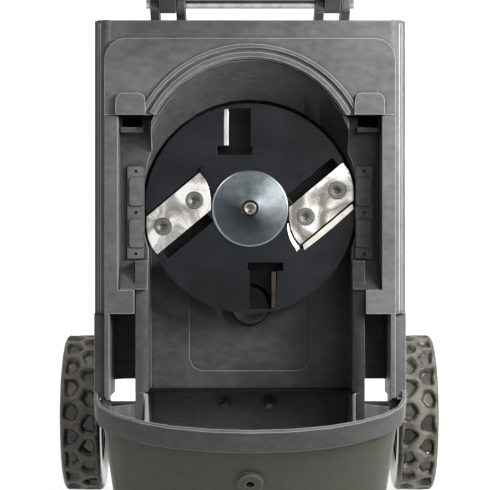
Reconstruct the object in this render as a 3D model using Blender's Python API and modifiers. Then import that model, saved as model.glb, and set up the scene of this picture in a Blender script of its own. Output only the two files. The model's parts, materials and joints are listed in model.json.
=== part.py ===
"""Electric garden shredder, opened for its knives to be changed: a knife-type machine on two wheels.

Units are metres, +Z is up and the machine's front faces -Y. Most of the upper machine is modelled in
the disc's own tilted frame: x to the right, v (local Y) up the slope, w (local Z) out of the disc's face.
"""
import math

import bmesh
import bpy
from mathutils import Matrix, Vector

# General clearances and wall thicknesses
SEAT_GAP = 0.0003
WALL = 0.0032
PLATE = 0.003
# How far two forms of one moulding run into each other, and what keeps their faces out of one plane
LAP = 0.001
HAIR = 0.0001

# The origin lies under the middle of the whole machine with its hopper open
MACHINE_Y = -0.0918

# Cutting disc and the tilted frame it sits in
DISC_TILT = math.radians(50)
DISC_HEIGHT = 0.477
DISC_RADIUS = 0.099
DISC_THICKNESS = 0.009
CHAMBER_CLEARANCE = 0.0035
PAN_FLOOR = -0.030

# Knives: parallelograms whose two ends are rounded
KNIFE_LENGTH = 0.0655
KNIFE_WIDTH = 0.034
KNIFE_THICKNESS = 0.005
KNIFE_SKEW = 0.0148
KNIFE_END_BULGE = 0.0045
KNIFE_ANGLE = math.radians(39.8)
KNIFE_CENTRE_X = -0.0674
KNIFE_CENTRE_V = -0.0046
KNIFE_TILT = math.radians(4)
KNIFE_PROUD = 0.0008
KNIFE_SCREW_SPACING = 0.0386
KNIFE_SCREW_HEAD = 0.0083
KNIFE_SCREW_SHANK = 0.004
KNIFE_SCREW_SOCKET = 0.0029
KNIFE_SCREW_SUNK = 0.0003
KNIFE_BEVEL = 0.0055
POCKET_MARGIN = 0.004
POCKET_OUTER_MARGIN = 0.006
POCKET_FRONT_MARGIN = 0.0005
CHIP_SLOT_WIDTH = 0.011
CHIP_SLOT_LAP = 0.0015
CHIP_SLOT_END = 0.005

# Throwing vanes behind the disc
VANE_THICKNESS = 0.0045
VANE_LENGTH = 0.036
VANE_DEPTH = 0.016
VANE_INNER = 0.0585
VANE_X = -0.0225
SLOT_WIDTH = 0.0207
SLOT_HEAD_HEIGHT = 0.0072
SLOT_HEAD_LEFT = 0.006
SLOT_HEAD_RIGHT = 0.002

# Hub cap and its screw
HUB_RADIUS = 0.036
HUB_HEIGHT = 0.0065
HUB_RECESS = 0.0075
HUB_FLOOR = 0.0012
HUB_BORE = 0.0045
HUB_SCREW_HEAD = 0.0062
HUB_SCREW_HEIGHT = 0.006
HUB_SCREW_SHANK = 0.004
HUB_SCREW_LENGTH = 0.028

# Flange round the opening, in the disc's frame
FLANGE_TOP = 0.033
STEP_TOP = 0.025
BODY_HALF_WIDTH = 0.145
BODY_WALL = 0.0035
FLANGE_STEP = 0.010
FLANGE_WIDTH = 0.013
LOWER_FLANGE_WIDTH = 0.005
SHELF_WIDTH = 0.028
FLANGE_OUTER = BODY_HALF_WIDTH - FLANGE_STEP
FLANGE_INNER = FLANGE_OUTER - FLANGE_WIDTH
LOWER_FLANGE_INNER = FLANGE_OUTER - LOWER_FLANGE_WIDTH
SHELF_INNER = FLANGE_OUTER - SHELF_WIDTH
BODY_TOP_V = 0.175
BODY_BOTTOM_V = -0.176
BODY_BACK = -0.060
SHELF_TOP_V = -0.076
SHELF_BOTTOM_V = -0.098
BACK_PLATE_V = -0.1633
BACK_PLATE_W = -0.040
PANEL_BOTTOM_V = 0.0855
PANEL_TOP_V = 0.157
PANEL_CORNER = 0.019
TOP_STEP_V = 0.1445

# Arch in the top panel: the throat is upright, so its circle climbs the slope as it leaves the disc
ARCH_SHIFT = 0.039
ARCH_RADIUS = 0.099
RIDGE_STEP = 0.0015
INNER_RIDGE_WIDTH = 0.0045
RIDGE_WIDTH = 0.0035
RIDGE_HEIGHT = 0.0022
GROOVE_WIDTH = 0.004

# Trough, ridges and side pockets
TROUGH_HALF = 0.095
RIDGE_SPAN = 0.0117
RIDGE_OUTER = TROUGH_HALF + RIDGE_SPAN
RIDGE_TOP = 0.025
RIDGE_START_V = -0.030
RIDGE_END_V = -0.197
TROUGH_END_V = -0.172
POCKET_FLOOR = 0.008
POCKET_INNER = 0.092
POCKET_LOW_V = -0.049
TAB_HALF_LENGTH = 0.0138
TAB_TO_FLANGE = 0.0115
TAB_CENTRE_X = FLANGE_INNER - TAB_TO_FLANGE
TAB_TOP_V = 0.106
TAB_HEIGHT = 0.004
TAB_CORNER = 0.007

# Shallow recess and crescent boss in the trough's floor
TROUGH_PANEL_HALF_WIDTH = 0.058
TROUGH_PANEL_HALF_LENGTH = 0.075
TROUGH_PANEL_MIDDLE_V = -0.080
TROUGH_PANEL_CORNER = 0.012
TROUGH_PANEL_DEPTH = 0.0012
BOSS_RADIUS = 0.021
BOSS_TOP_RADIUS = 0.018
BOSS_HEIGHT = 0.006
BOSS_MIDDLE_V = -0.092

# Pegs under the hopper's flange, and the holes and ledges that take them
PEG_HALF_WIDTH = 0.0052
PEG_THICKNESS = 0.0047
PEG_LOW_V = 0.0798
PEG_REACH = 0.006
PEG_HOLE_HALF_WIDTH = 0.0095
PEG_HOLE_LOW_V = 0.0755
PEG_HOLE_TOP_V = 0.0853
PEG_LEDGE_LOW_V = 0.0705
PEG_LEDGE_TOP = 0.019

# Wear plates at the sides of the disc
WEAR_PLATE_TO_FLANGE = 0.015
WEAR_PLATE_HALF_WIDTH = 0.0082
WEAR_PLATE_HALF_LENGTH = 0.0435
WEAR_PLATE_MIDDLE_V = -0.004
WEAR_PLATE_THICKNESS = 0.0025
WEAR_PAD_HALF_LENGTH = 0.0135
WEAR_PAD_SPACING = 0.039
WEAR_HOLE_RADIUS = 0.0013
WEAR_HOLE_SPACING = 0.0387

# Front rim and the lower body
RIM_BOW = 0.045
RIM_HEIGHT = 0.026
RIM_RETURN = 0.022
LOWER_INSET = 0.007
LOWER_TAPER = 0.018
LOWER_HALF_TOP = BODY_HALF_WIDTH - LOWER_INSET
LOWER_HALF_BOTTOM = LOWER_HALF_TOP - LOWER_TAPER
LOWER_BOW = 0.041
LOWER_WALL = 0.004
APRON_ARCH_HALF = 0.075
APRON_ARCH_SPRING = 0.120
APRON_ARCH_RISE = 0.050
FOOT_HEIGHT = 0.012
FOOT_TOP_RADIUS = 0.012
FOOT_RADIUS = 0.015
FOOT_SHARE = 0.733

# Discharge shaft below the trough
SHAFT_OUTLET_Z = 0.190
SHAFT_DEPTH = 0.066
SHAFT_SLANT = 0.020
SHAFT_LIP = 0.005
SHAFT_SCREW_SPACING = 0.043
SHAFT_SCREW_MIDDLE = -0.003
SHAFT_SCREW_DROP = 0.0165
SHAFT_SCREW_RADIUS = 0.0042
SHAFT_BOSS_RADIUS = 0.0062
SHAFT_BOSS_HEIGHT = 0.004

# Wheels
WHEEL_RADIUS = 0.087
WHEEL_WIDTH = 0.044
WHEEL_TO_BODY = 0.0245
WHEEL_OUTER_X = LOWER_HALF_TOP + WHEEL_TO_BODY + WHEEL_WIDTH
WHEEL_Y = 0.117
RIM_RADIUS = 0.058
RIM_WALL = 0.004
RIM_WEB = 0.005
RIM_BOSS_RADIUS = 0.015
RIM_WINDOWS = 6
WHEEL_CAP_RADIUS = 0.013
WHEEL_CAP_HEIGHT = 0.006
AXLE_RADIUS = 0.005
AXLE_BOSS_RADIUS = 0.014
AXLE_BOSS_HALF = 0.006
AXLE_LUG = 0.022
SPACER_RADIUS = 0.0128
TREAD_CELLS = 17
TREAD_DEPTH = 0.0065
CROWN_HALF = 0.017
TYRE_SHOULDER = 0.008
CELL_OFFSET = 0.0113
CELL_LENGTH = 0.0235
CELL_WIDTH = 0.016

# Motor behind the chamber
MOTOR_RADIUS = 0.052
MOTOR_LENGTH = 0.100
MOTOR_FLANGE_RADIUS = 0.060
MOTOR_FLANGE_THICKNESS = 0.010
END_BELL_LENGTH = 0.014
STATOR_BORE = 0.0285
ARMATURE_RADIUS = 0.027
COMMUTATOR_RADIUS = 0.017
SHAFT_RADIUS = 0.0075
SHAFT_NOSE_RADIUS = 0.0043
SHAFT_SHOULDER = 0.018
BEARING_RADIUS = 0.016
BEARING_SINK = 0.0005
FAN_LENGTH = 0.020
FAN_RADIUS = 0.046
FAN_HUB_RADIUS = 0.014
FAN_BLADES = 7
COVER_HALF_X = 0.095
COVER_V = 0.098
COVER_BACK = -0.190
COVER_WALL = 0.003
COVER_CORNER = 0.03
VENTS = 7
VENT_PITCH = 0.014
VENT_HEIGHT = 0.006
VENT_HALF_WIDTH = 0.045

# Switch box on the cover, with its buttons and inlet
SWITCH_FRONT = -0.095
SWITCH_BACK = -0.168
SWITCH_HALF_WIDTH = 0.036
SWITCH_HEIGHT = 0.024
BUTTON_RADIUS = 0.0075
BUTTON_SPACING = 0.036
BUTTON_W = -0.118
RESET_RADIUS = 0.005
RESET_W = -0.138
BUTTON_PROUD = 0.0035
BUTTON_LENGTH = 0.0087
BUTTON_GAP = 0.0004
BUTTON_WELL_DEPTH = 0.009
INLET_HALF_WIDTH = 0.020
INLET_LOW_V = 0.100
INLET_TOP_V = 0.114
INLET_DEPTH = 0.018
INLET_BASE = 0.0067
INLET_PIN_SPACING = 0.007
INLET_PIN_HALF = 0.001

# Transport handle round the motor cover
HANDLE_RADIUS = 0.010
HANDLE_REACH = 0.045
HANDLE_TO_COVER = 0.017
HANDLE_V = 0.100
HANDLE_BEND = 0.030

# Hopper, drawn closed and then swung open about its hinge
HINGE_V = 0.188
HINGE_W = 0.034
HINGE_PIN_RADIUS = 0.004
HOPPER_OPEN = math.radians(105)
HOPPER_HEIGHT = 0.330
THROAT_RADIUS = 0.096
MOUTH_HALF_X = 0.170
MOUTH_HALF_Y = 0.120
HOPPER_WALL = 0.003
HOPPER_FLANGE = 0.0035
MOUTH_Y = -0.024
MOUTH_POINTS = 24
EYE_RADIUS = 0.0085
MOUTH_ROLL = 0.006
MOUTH_POWER = 5.0
LUG_X = 0.076
LUG_STEP = 0.012
LUG_THICKNESS = 0.0085
PIN_END = 0.0037
LID_PROUD = 0.0038
LID_LIFT = 0.0035
SKIRT_HEIGHT = 0.018
SKIRT_WALL = 0.003
TONGUE_HALF_WIDTH = 0.016
TONGUE_THICKNESS = 0.0035
LOBE_POINTS = 30
LOCK_DROP = 0.068
LOCK_TRAVEL = 0.010
LOCK_BOLT_RADIUS = 0.004
LOCK_BOSS_LENGTH = 0.016
LOCK_BOSS_PROUD = 0.0045
KNOB_RADIUS = 0.018
KNOB_LOBE = 0.003
KNOB_LOBES = 6
KNOB_DEPTH = 0.016
KNOB_GRIP = 0.0135
SWITCH_CASE_HALF_WIDTH = 0.010
SWITCH_CASE_HALF_HEIGHT = 0.014
SWITCH_CASE_DEPTH = 0.012
PLUNGER_RADIUS = 0.0028
PLUNGER_PLAY = 0.002

# Facets
ROUND = 36
MEDIUM_ROUND = 20
BOW_POINTS = 13
RIDGE_POINTS = 21
SMALL_ROUND = 16
TINY_ROUND = 12


def clear_scene():
    for thing in list(bpy.data.objects):
        bpy.data.objects.remove(thing, do_unlink=True)


def new_collection(name):
    collection = bpy.data.collections.new(name)
    bpy.context.scene.collection.children.link(collection)
    return collection


clear_scene()
PARTS = new_collection("garden_shredder")
CUTTERS = new_collection("cutters")


def material(name, colour, roughness, metallic=0.0):
    finish = bpy.data.materials.new(name)
    finish.use_nodes = True
    surface = finish.node_tree.nodes["Principled BSDF"]
    surface.inputs["Base Color"].default_value = (*colour, 1.0)
    surface.inputs["Roughness"].default_value = roughness
    surface.inputs["Metallic"].default_value = metallic
    finish.diffuse_color = (*colour, 1.0)
    return finish


BLACK_PLASTIC = material("black moulded plastic", (0.045, 0.046, 0.046), 0.5)
GREY_PLASTIC = material("dark grey moulded plastic", (0.075, 0.077, 0.078), 0.5)
DISC_PAINT = material("black painted steel", (0.02, 0.022, 0.025), 0.35, 0.2)
KNIFE_STEEL = material("ground knife steel", (0.7, 0.69, 0.66), 0.3, 1.0)
HUB_STEEL = material("turned grey steel", (0.35, 0.38, 0.4), 0.35, 1.0)
SCREW_STEEL = material("dark screw steel", (0.2, 0.2, 0.2), 0.4, 1.0)
BRIGHT_STEEL = material("bright zinc plated steel", (0.6, 0.6, 0.58), 0.3, 1.0)
TYRE_PLASTIC = material("blown tyre plastic", (0.06, 0.055, 0.05), 0.6)
RUBBER = material("soft black rubber", (0.03, 0.03, 0.03), 0.8)
COPPER = material("enamelled copper", (0.5, 0.2, 0.08), 0.4, 1.0)
CAST_METAL = material("cast aluminium", (0.5, 0.5, 0.5), 0.5, 1.0)
GREEN_PLASTIC = material("green button plastic", (0.02, 0.3, 0.06), 0.4)
RED_PLASTIC = material("red button plastic", (0.5, 0.02, 0.02), 0.4)


def frame_empty(name, parent=None, location=(0, 0, 0), rotation=(0, 0, 0)):
    """A frame that carries tilted or hinged pieces."""
    empty = bpy.data.objects.new(name, None)
    bpy.context.scene.collection.objects.link(empty)
    empty.parent = parent
    empty.location = location
    empty.rotation_euler = rotation
    return empty


MACHINE = frame_empty("machine", None, (0, MACHINE_Y, 0))
DISC_FRAME = frame_empty("disc_frame", MACHINE, (0, 0, DISC_HEIGHT), (DISC_TILT, 0, 0))
ROTOR_FRAME = frame_empty("rotor_axis", DISC_FRAME)
HOPPER_FRAME = frame_empty("hopper_hinge", DISC_FRAME, (0, HINGE_V, HINGE_W), (-HOPPER_OPEN, 0, 0))
ALONG_V = (math.radians(90), 0, 0)


def place(thing, name, finish=None, parent=None, location=(0, 0, 0), rotation=(0, 0, 0)):
    """Names an object, gives it a material and puts it in its frame; without a material it is a cutter."""
    thing.name = name
    thing.parent = parent or MACHINE
    thing.location = location
    thing.rotation_euler = rotation
    if finish:
        thing.data.materials.clear()
        thing.data.materials.append(finish)
        PARTS.objects.link(thing)
    else:
        thing.hide_render = True
        thing.display_type = "WIRE"
        CUTTERS.objects.link(thing)
    return thing


def from_bmesh(mesh_data):
    bmesh.ops.recalc_face_normals(mesh_data, faces=mesh_data.faces)
    mesh = bpy.data.meshes.new("mesh")
    mesh_data.to_mesh(mesh)
    mesh_data.free()
    return bpy.data.objects.new("piece", mesh)


def box(x0, x1, y0, y1, z0, z1):
    """A block between two corners."""
    block = bmesh.new()
    size = Matrix.Diagonal((x1 - x0, y1 - y0, z1 - z0, 1))
    middle = shift((x0 + x1) / 2, (y0 + y1) / 2, (z0 + z1) / 2)
    bmesh.ops.create_cube(block, size=1, matrix=middle @ size)
    return from_bmesh(block)


def rod(radius, z0, z1, segments=SMALL_ROUND, top_radius=None, x=0.0, y=0.0):
    """A cylinder or cone along Z."""
    bar = bmesh.new()
    end = radius if top_radius is None else top_radius
    bmesh.ops.create_cone(
        bar,
        cap_ends=True,
        segments=segments,
        radius1=radius,
        radius2=end,
        depth=z1 - z0,
        matrix=shift(x, y, (z0 + z1) / 2),
    )
    return from_bmesh(bar)


def turned(profile, segments=ROUND, move=None):
    """A profile of (radius, height) points, down its outer side, turned about Z and then moved."""
    mesh = bpy.data.meshes.new("profile")
    points = [(r, 0, z) for r, z in profile]
    closed = profile[0][0] > 0
    edges = [(i, i + 1) for i in range(len(points) - 1)]
    if closed:
        edges.append((len(points) - 1, 0))
    mesh.from_pydata(points, edges, [])
    shape = bpy.data.objects.new("piece", mesh)
    screw = shape.modifiers.new("turn", "SCREW")
    screw.axis = "Z"
    screw.steps = segments
    screw.render_steps = segments
    screw.use_merge_vertices = True
    screw.merge_threshold = 0.00001
    if move is None:
        return shape
    bpy.context.scene.collection.objects.link(shape)
    solid = as_mesh(shape)
    solid.data.transform(move)
    return solid


def outline_plate(outlines, depth):
    """Closed outlines in XY, the first outside and the rest holes, made solid between z = 0 and depth."""
    curve = bpy.data.curves.new("outline", "CURVE")
    curve.dimensions = "2D"
    curve.fill_mode = "BOTH"
    curve.extrude = depth / 2
    for points in outlines:
        spline = curve.splines.new("POLY")
        spline.points.add(len(points) - 1)
        for point, (x, y) in zip(spline.points, points):
            point.co = (x, y, 0, 1)
        spline.use_cyclic_u = True
    flat = bpy.data.objects.new("flat", curve)
    bpy.context.scene.collection.objects.link(flat)
    solid = as_mesh(flat)
    solid.data.transform(shift(z=depth / 2))
    return solid


def as_mesh(source):
    """A curve's or a turned profile's own mesh, with its caps welded on and its flat faces left whole."""
    view = bpy.context.evaluated_depsgraph_get()
    mesh = bpy.data.meshes.new_from_object(source.evaluated_get(view))
    welded = bmesh.new()
    welded.from_mesh(mesh)
    bmesh.ops.remove_doubles(welded, verts=welded.verts, dist=0.00001)
    bmesh.ops.dissolve_limit(welded, angle_limit=0.001, verts=welded.verts, edges=welded.edges)
    result = from_bmesh(welded)
    bpy.data.objects.remove(source)
    return result


def tube(points, radius, resolution=3, cyclic=False):
    """A round bar along a list of points."""
    curve = bpy.data.curves.new("path", "CURVE")
    curve.dimensions = "3D"
    curve.bevel_depth = radius
    curve.bevel_resolution = resolution
    curve.use_fill_caps = True
    spline = curve.splines.new("POLY")
    spline.points.add(len(points) - 1)
    for point, place_at in zip(spline.points, points):
        point.co = (*place_at, 1)
    spline.use_cyclic_u = cyclic
    path = bpy.data.objects.new("path", curve)
    bpy.context.scene.collection.objects.link(path)
    return as_mesh(path)


def shape_with(target, tool, operation, name, parent=None, location=(0, 0, 0), rotation=(0, 0, 0)):
    place(tool, name, None, parent, location, rotation)
    step = target.modifiers.new(name, "BOOLEAN")
    step.operation = operation
    step.object = tool
    step.solver = "EXACT"
    return tool


def add_to(target, tool, name, parent=None, location=(0, 0, 0), rotation=(0, 0, 0)):
    return shape_with(target, tool, "UNION", name, parent, location, rotation)


def cut_from(target, tool, name, parent=None, location=(0, 0, 0), rotation=(0, 0, 0)):
    return shape_with(target, tool, "DIFFERENCE", name, parent, location, rotation)


def arc(cx, cy, rx, ry, start, end, count):
    """Points along an elliptical arc, angles in degrees."""
    angles = [math.radians(start + (end - start) * i / (count - 1)) for i in range(count)]
    return [(cx + rx * math.cos(a), cy + ry * math.sin(a)) for a in angles]


def rounded_rectangle(half_x, half_y, radius, cx=0.0, cy=0.0, steps=3):
    points = []
    corners = ((1, 1, 0), (-1, 1, 90), (-1, -1, 180), (1, -1, 270))
    for sx, sy, start in corners:
        centre_x = cx + sx * (half_x - radius)
        centre_y = cy + sy * (half_y - radius)
        points += arc(centre_x, centre_y, radius, radius, start, start + 90, steps)
    return points


def smooth(thing, angle=35):
    thing.data.shade_smooth()
    thing.data.set_sharp_from_angle(angle=math.radians(angle))
    return thing


def world_point(v, w):
    """The (y, z) in the world of a point in the disc's frame."""
    y = v * math.cos(DISC_TILT) - w * math.sin(DISC_TILT)
    z = DISC_HEIGHT + v * math.sin(DISC_TILT) + w * math.cos(DISC_TILT)
    return y, z


SIDES = (("left", -1), ("right", 1))
SPIN_TO_X = Matrix.Rotation(math.radians(90), 4, "Y")
SPIN_TO_FRONT = Matrix.Rotation(math.radians(90), 4, "X")
# Turns an outline drawn in (y, z) so that its thickness runs along X
SECTION_TO_X = Matrix.Rotation(math.radians(90), 4, "Z") @ Matrix.Rotation(math.radians(90), 4, "X")


def shift(x=0.0, y=0.0, z=0.0):
    return Matrix.Translation((x, y, z))


def across(outline, x0, x1):
    """An outline in (y, z) made solid from x0 to x1."""
    low, high = sorted((x0, x1))
    solid = outline_plate([outline], high - low)
    solid.data.transform(shift(low) @ SECTION_TO_X)
    return solid


HOPPER_TILTED = frame_empty("hopper_tilted", HOPPER_FRAME, (0, -HINGE_V, -HINGE_W))
UPRIGHT_PLACE = Matrix.Rotation(-DISC_TILT, 3, "X") @ Vector((0, 0, -DISC_HEIGHT))
HOPPER_UPRIGHT = frame_empty(
    "hopper_upright",
    HOPPER_FRAME,
    (0, UPRIGHT_PLACE.y - HINGE_V, UPRIGHT_PLACE.z - HINGE_W),
    (-DISC_TILT, 0, 0),
)


def knife_outline(back=0.0, inner=0.0, outer=0.0, front=0.0):
    """A knife's parallelogram with bulged ends, its cutting edge at -Y, grown on each side."""
    half_length = KNIFE_LENGTH / 2
    half_width = KNIFE_WIDTH / 2
    lean = KNIFE_SKEW / KNIFE_WIDTH
    top = half_width + back
    bottom = -half_width - front
    points = []
    for side, grow in ((1, inner), (-1, outer)):
        steps = range(5) if side == 1 else range(4, -1, -1)
        for i in steps:
            y = bottom + (top - bottom) * i / 4
            bulge = KNIFE_END_BULGE * (1 - ((y - (top + bottom) / 2) / ((top - bottom) / 2)) ** 2)
            points.append((side * (half_length + grow + bulge) + lean * y, y))
    return points


def knife_place(turn):
    """Where a knife's frame sits on the disc: its middle, tipped so that the cutting edge stands proud."""
    cos, sin = math.cos(turn), math.sin(turn)
    x = KNIFE_CENTRE_X * cos - KNIFE_CENTRE_V * sin
    v = KNIFE_CENTRE_X * sin + KNIFE_CENTRE_V * cos
    height = KNIFE_PROUD - KNIFE_WIDTH / 2 * math.sin(KNIFE_TILT)
    return (x, v, height), (-KNIFE_TILT, 0, KNIFE_ANGLE + turn)


def build_disc():
    disc = place(rod(DISC_RADIUS, -DISC_THICKNESS, 0, ROUND), "blade_disc", DISC_PAINT, ROTOR_FRAME)
    through = 2 * DISC_THICKNESS
    bore = rod(SHAFT_RADIUS + SEAT_GAP, -through, through, SMALL_ROUND)
    cut_from(disc, bore, "cut_disc_bore", ROTOR_FRAME)
    for number, turn in ((1, 0.0), (2, math.pi)):
        spot, tip = knife_place(turn)
        depth = KNIFE_THICKNESS + SEAT_GAP
        outline = knife_outline(POCKET_MARGIN, POCKET_MARGIN, POCKET_OUTER_MARGIN, POCKET_FRONT_MARGIN)
        pocket = outline_plate([outline], depth + through)
        pocket.data.transform(shift(z=-depth))
        cut_from(disc, pocket, f"cut_pocket_{number}", ROTOR_FRAME, spot, tip)
        slot_start = -KNIFE_LENGTH / 2 - KNIFE_SKEW / 2 + CHIP_SLOT_END
        slot_end = KNIFE_LENGTH / 2 - KNIFE_SKEW / 2 - CHIP_SLOT_END
        edge = -KNIFE_WIDTH / 2 + CHIP_SLOT_LAP
        slot = box(slot_start, slot_end, edge - CHIP_SLOT_WIDTH, edge, -through, through)
        cut_from(disc, slot, f"cut_chip_slot_{number}", ROTOR_FRAME, spot, (0, 0, tip[2]))
        for end in (-1, 1):
            x = end * KNIFE_SCREW_SPACING / 2
            thread = rod(KNIFE_SCREW_SHANK + SEAT_GAP, -through, through, TINY_ROUND, None, x)
            cut_from(disc, thread, f"cut_knife_thread_{number}{'ab'[end > 0]}", ROTOR_FRAME, spot, tip)
        vane_slot = outline_plate([vane_slot_outline()], 2 * through)
        vane_slot.data.transform(shift(z=-through))
        cut_from(disc, vane_slot, f"cut_vane_slot_{number}", ROTOR_FRAME, (0, 0, 0), (0, 0, turn))
    return smooth(disc)


def vane_slot_outline():
    """The T-shaped slot above the centre: a window beside the vane and a wider head towards the hub."""
    left = VANE_X - VANE_THICKNESS / 2 - SEAT_GAP
    right = left + SLOT_WIDTH + VANE_THICKNESS
    head_left = left - SLOT_HEAD_LEFT
    head_right = right + SLOT_HEAD_RIGHT
    low, neck, high = VANE_INNER - SLOT_HEAD_HEIGHT, VANE_INNER, VANE_INNER + VANE_LENGTH
    return [
        (head_left, low),
        (head_right, low),
        (head_right, neck),
        (right, neck),
        (right, high),
        (left, high),
        (left, neck),
        (head_left, neck),
    ]


def build_vanes():
    for number, turn in ((1, 0.0), (2, math.pi)):
        x0, x1 = VANE_X - VANE_THICKNESS / 2, VANE_X + VANE_THICKNESS / 2
        low, high = VANE_INNER + 3 * SEAT_GAP, VANE_INNER + VANE_LENGTH - SEAT_GAP
        blade = box(x0, x1, low, high, -DISC_THICKNESS - VANE_DEPTH, -3 * SEAT_GAP)
        place(blade, f"throwing_vane_{number}", KNIFE_STEEL, ROTOR_FRAME, (0, 0, 0), (0, 0, turn))


def build_knives():
    for number, turn in ((1, 0.0), (2, math.pi)):
        spot, tip = knife_place(turn)
        plate = outline_plate([knife_outline()], KNIFE_THICKNESS)
        plate.data.transform(shift(z=-KNIFE_THICKNESS))
        knife = place(plate, f"knife_{number}", KNIFE_STEEL, ROTOR_FRAME, spot, tip)
        edge, deep = -KNIFE_WIDTH / 2, KNIFE_THICKNESS + LAP
        beyond = edge - LAP
        relief = [(beyond, -KNIFE_PROUD), (edge, -KNIFE_PROUD), (edge + KNIFE_BEVEL, -deep), (beyond, -deep)]
        bevel = across(relief, -KNIFE_LENGTH, KNIFE_LENGTH)
        cut_from(knife, bevel, f"cut_knife_edge_{number}", ROTOR_FRAME, spot, tip)
        for end in (-1, 1):
            letter = "ab"[end > 0]
            x = end * KNIFE_SCREW_SPACING / 2
            sink_depth = KNIFE_SCREW_HEAD - KNIFE_SCREW_SHANK
            sink_edge = -KNIFE_SCREW_SUNK - HAIR
            sink = turned(
                [
                    (0, KNIFE_THICKNESS),
                    (KNIFE_SCREW_HEAD + SEAT_GAP, KNIFE_THICKNESS),
                    (KNIFE_SCREW_HEAD + SEAT_GAP, sink_edge),
                    (KNIFE_SCREW_SHANK + SEAT_GAP, sink_edge - sink_depth),
                    (KNIFE_SCREW_SHANK + SEAT_GAP, -2 * DISC_THICKNESS),
                    (0, -2 * DISC_THICKNESS),
                ],
                SMALL_ROUND,
                shift(x),
            )
            cut_from(knife, sink, f"cut_sink_{number}{letter}", ROTOR_FRAME, spot, tip)
            screw_edge = sink_edge - SEAT_GAP
            screw_end = -DISC_THICKNESS - KNIFE_PROUD
            screw = turned(
                [
                    (0, -KNIFE_SCREW_SUNK),
                    (KNIFE_SCREW_HEAD, -KNIFE_SCREW_SUNK),
                    (KNIFE_SCREW_HEAD, screw_edge),
                    (KNIFE_SCREW_SHANK, screw_edge - sink_depth),
                    (KNIFE_SCREW_SHANK, screw_end),
                    (0, screw_end),
                ],
                SMALL_ROUND,
                shift(x),
            )
            name = f"knife_screw_{number}{letter}"
            screw = place(smooth(screw), name, SCREW_STEEL, ROTOR_FRAME, spot, tip)
            socket = rod(KNIFE_SCREW_SOCKET, -KNIFE_SCREW_SHANK, KNIFE_SCREW_SHANK, 6, None, x)
            cut_from(screw, socket, f"cut_socket_{number}{letter}", ROTOR_FRAME, spot, tip)


def build_hub():
    rise = SEAT_GAP
    cap = turned(
        [
            (HUB_RECESS, rise + HUB_HEIGHT),
            (HUB_RADIUS * 0.5, rise + HUB_HEIGHT * 0.9),
            (HUB_RADIUS * 0.8, rise + HUB_HEIGHT * 0.62),
            (HUB_RADIUS, rise + HUB_FLOOR),
            (HUB_RADIUS, rise),
            (HUB_BORE, rise),
            (HUB_BORE, rise + HUB_FLOOR),
            (HUB_RECESS, rise + HUB_FLOOR),
        ],
        ROUND,
    )
    place(smooth(cap), "hub_cap", HUB_STEEL, ROTOR_FRAME)
    seat = rise + HUB_FLOOR + SEAT_GAP
    head_top = seat + HUB_SCREW_HEIGHT
    screw = turned(
        [
            (0, head_top),
            (HUB_SCREW_HEAD * 0.87, head_top),
            (HUB_SCREW_HEAD, head_top - HUB_SCREW_HEAD * 0.13),
            (HUB_SCREW_HEAD, seat),
            (HUB_SCREW_SHANK, seat),
            (HUB_SCREW_SHANK, -HUB_SCREW_LENGTH),
            (0, -HUB_SCREW_LENGTH),
        ],
        SMALL_ROUND,
    )
    screw = place(smooth(screw), "hub_screw", BRIGHT_STEEL, ROTOR_FRAME)
    socket = rod(HUB_SCREW_HEAD * 0.53, seat + HUB_SCREW_HEIGHT / 4, head_top + HUB_SCREW_HEIGHT, 6)
    cut_from(screw, socket, "cut_hub_socket", ROTOR_FRAME)


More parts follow.
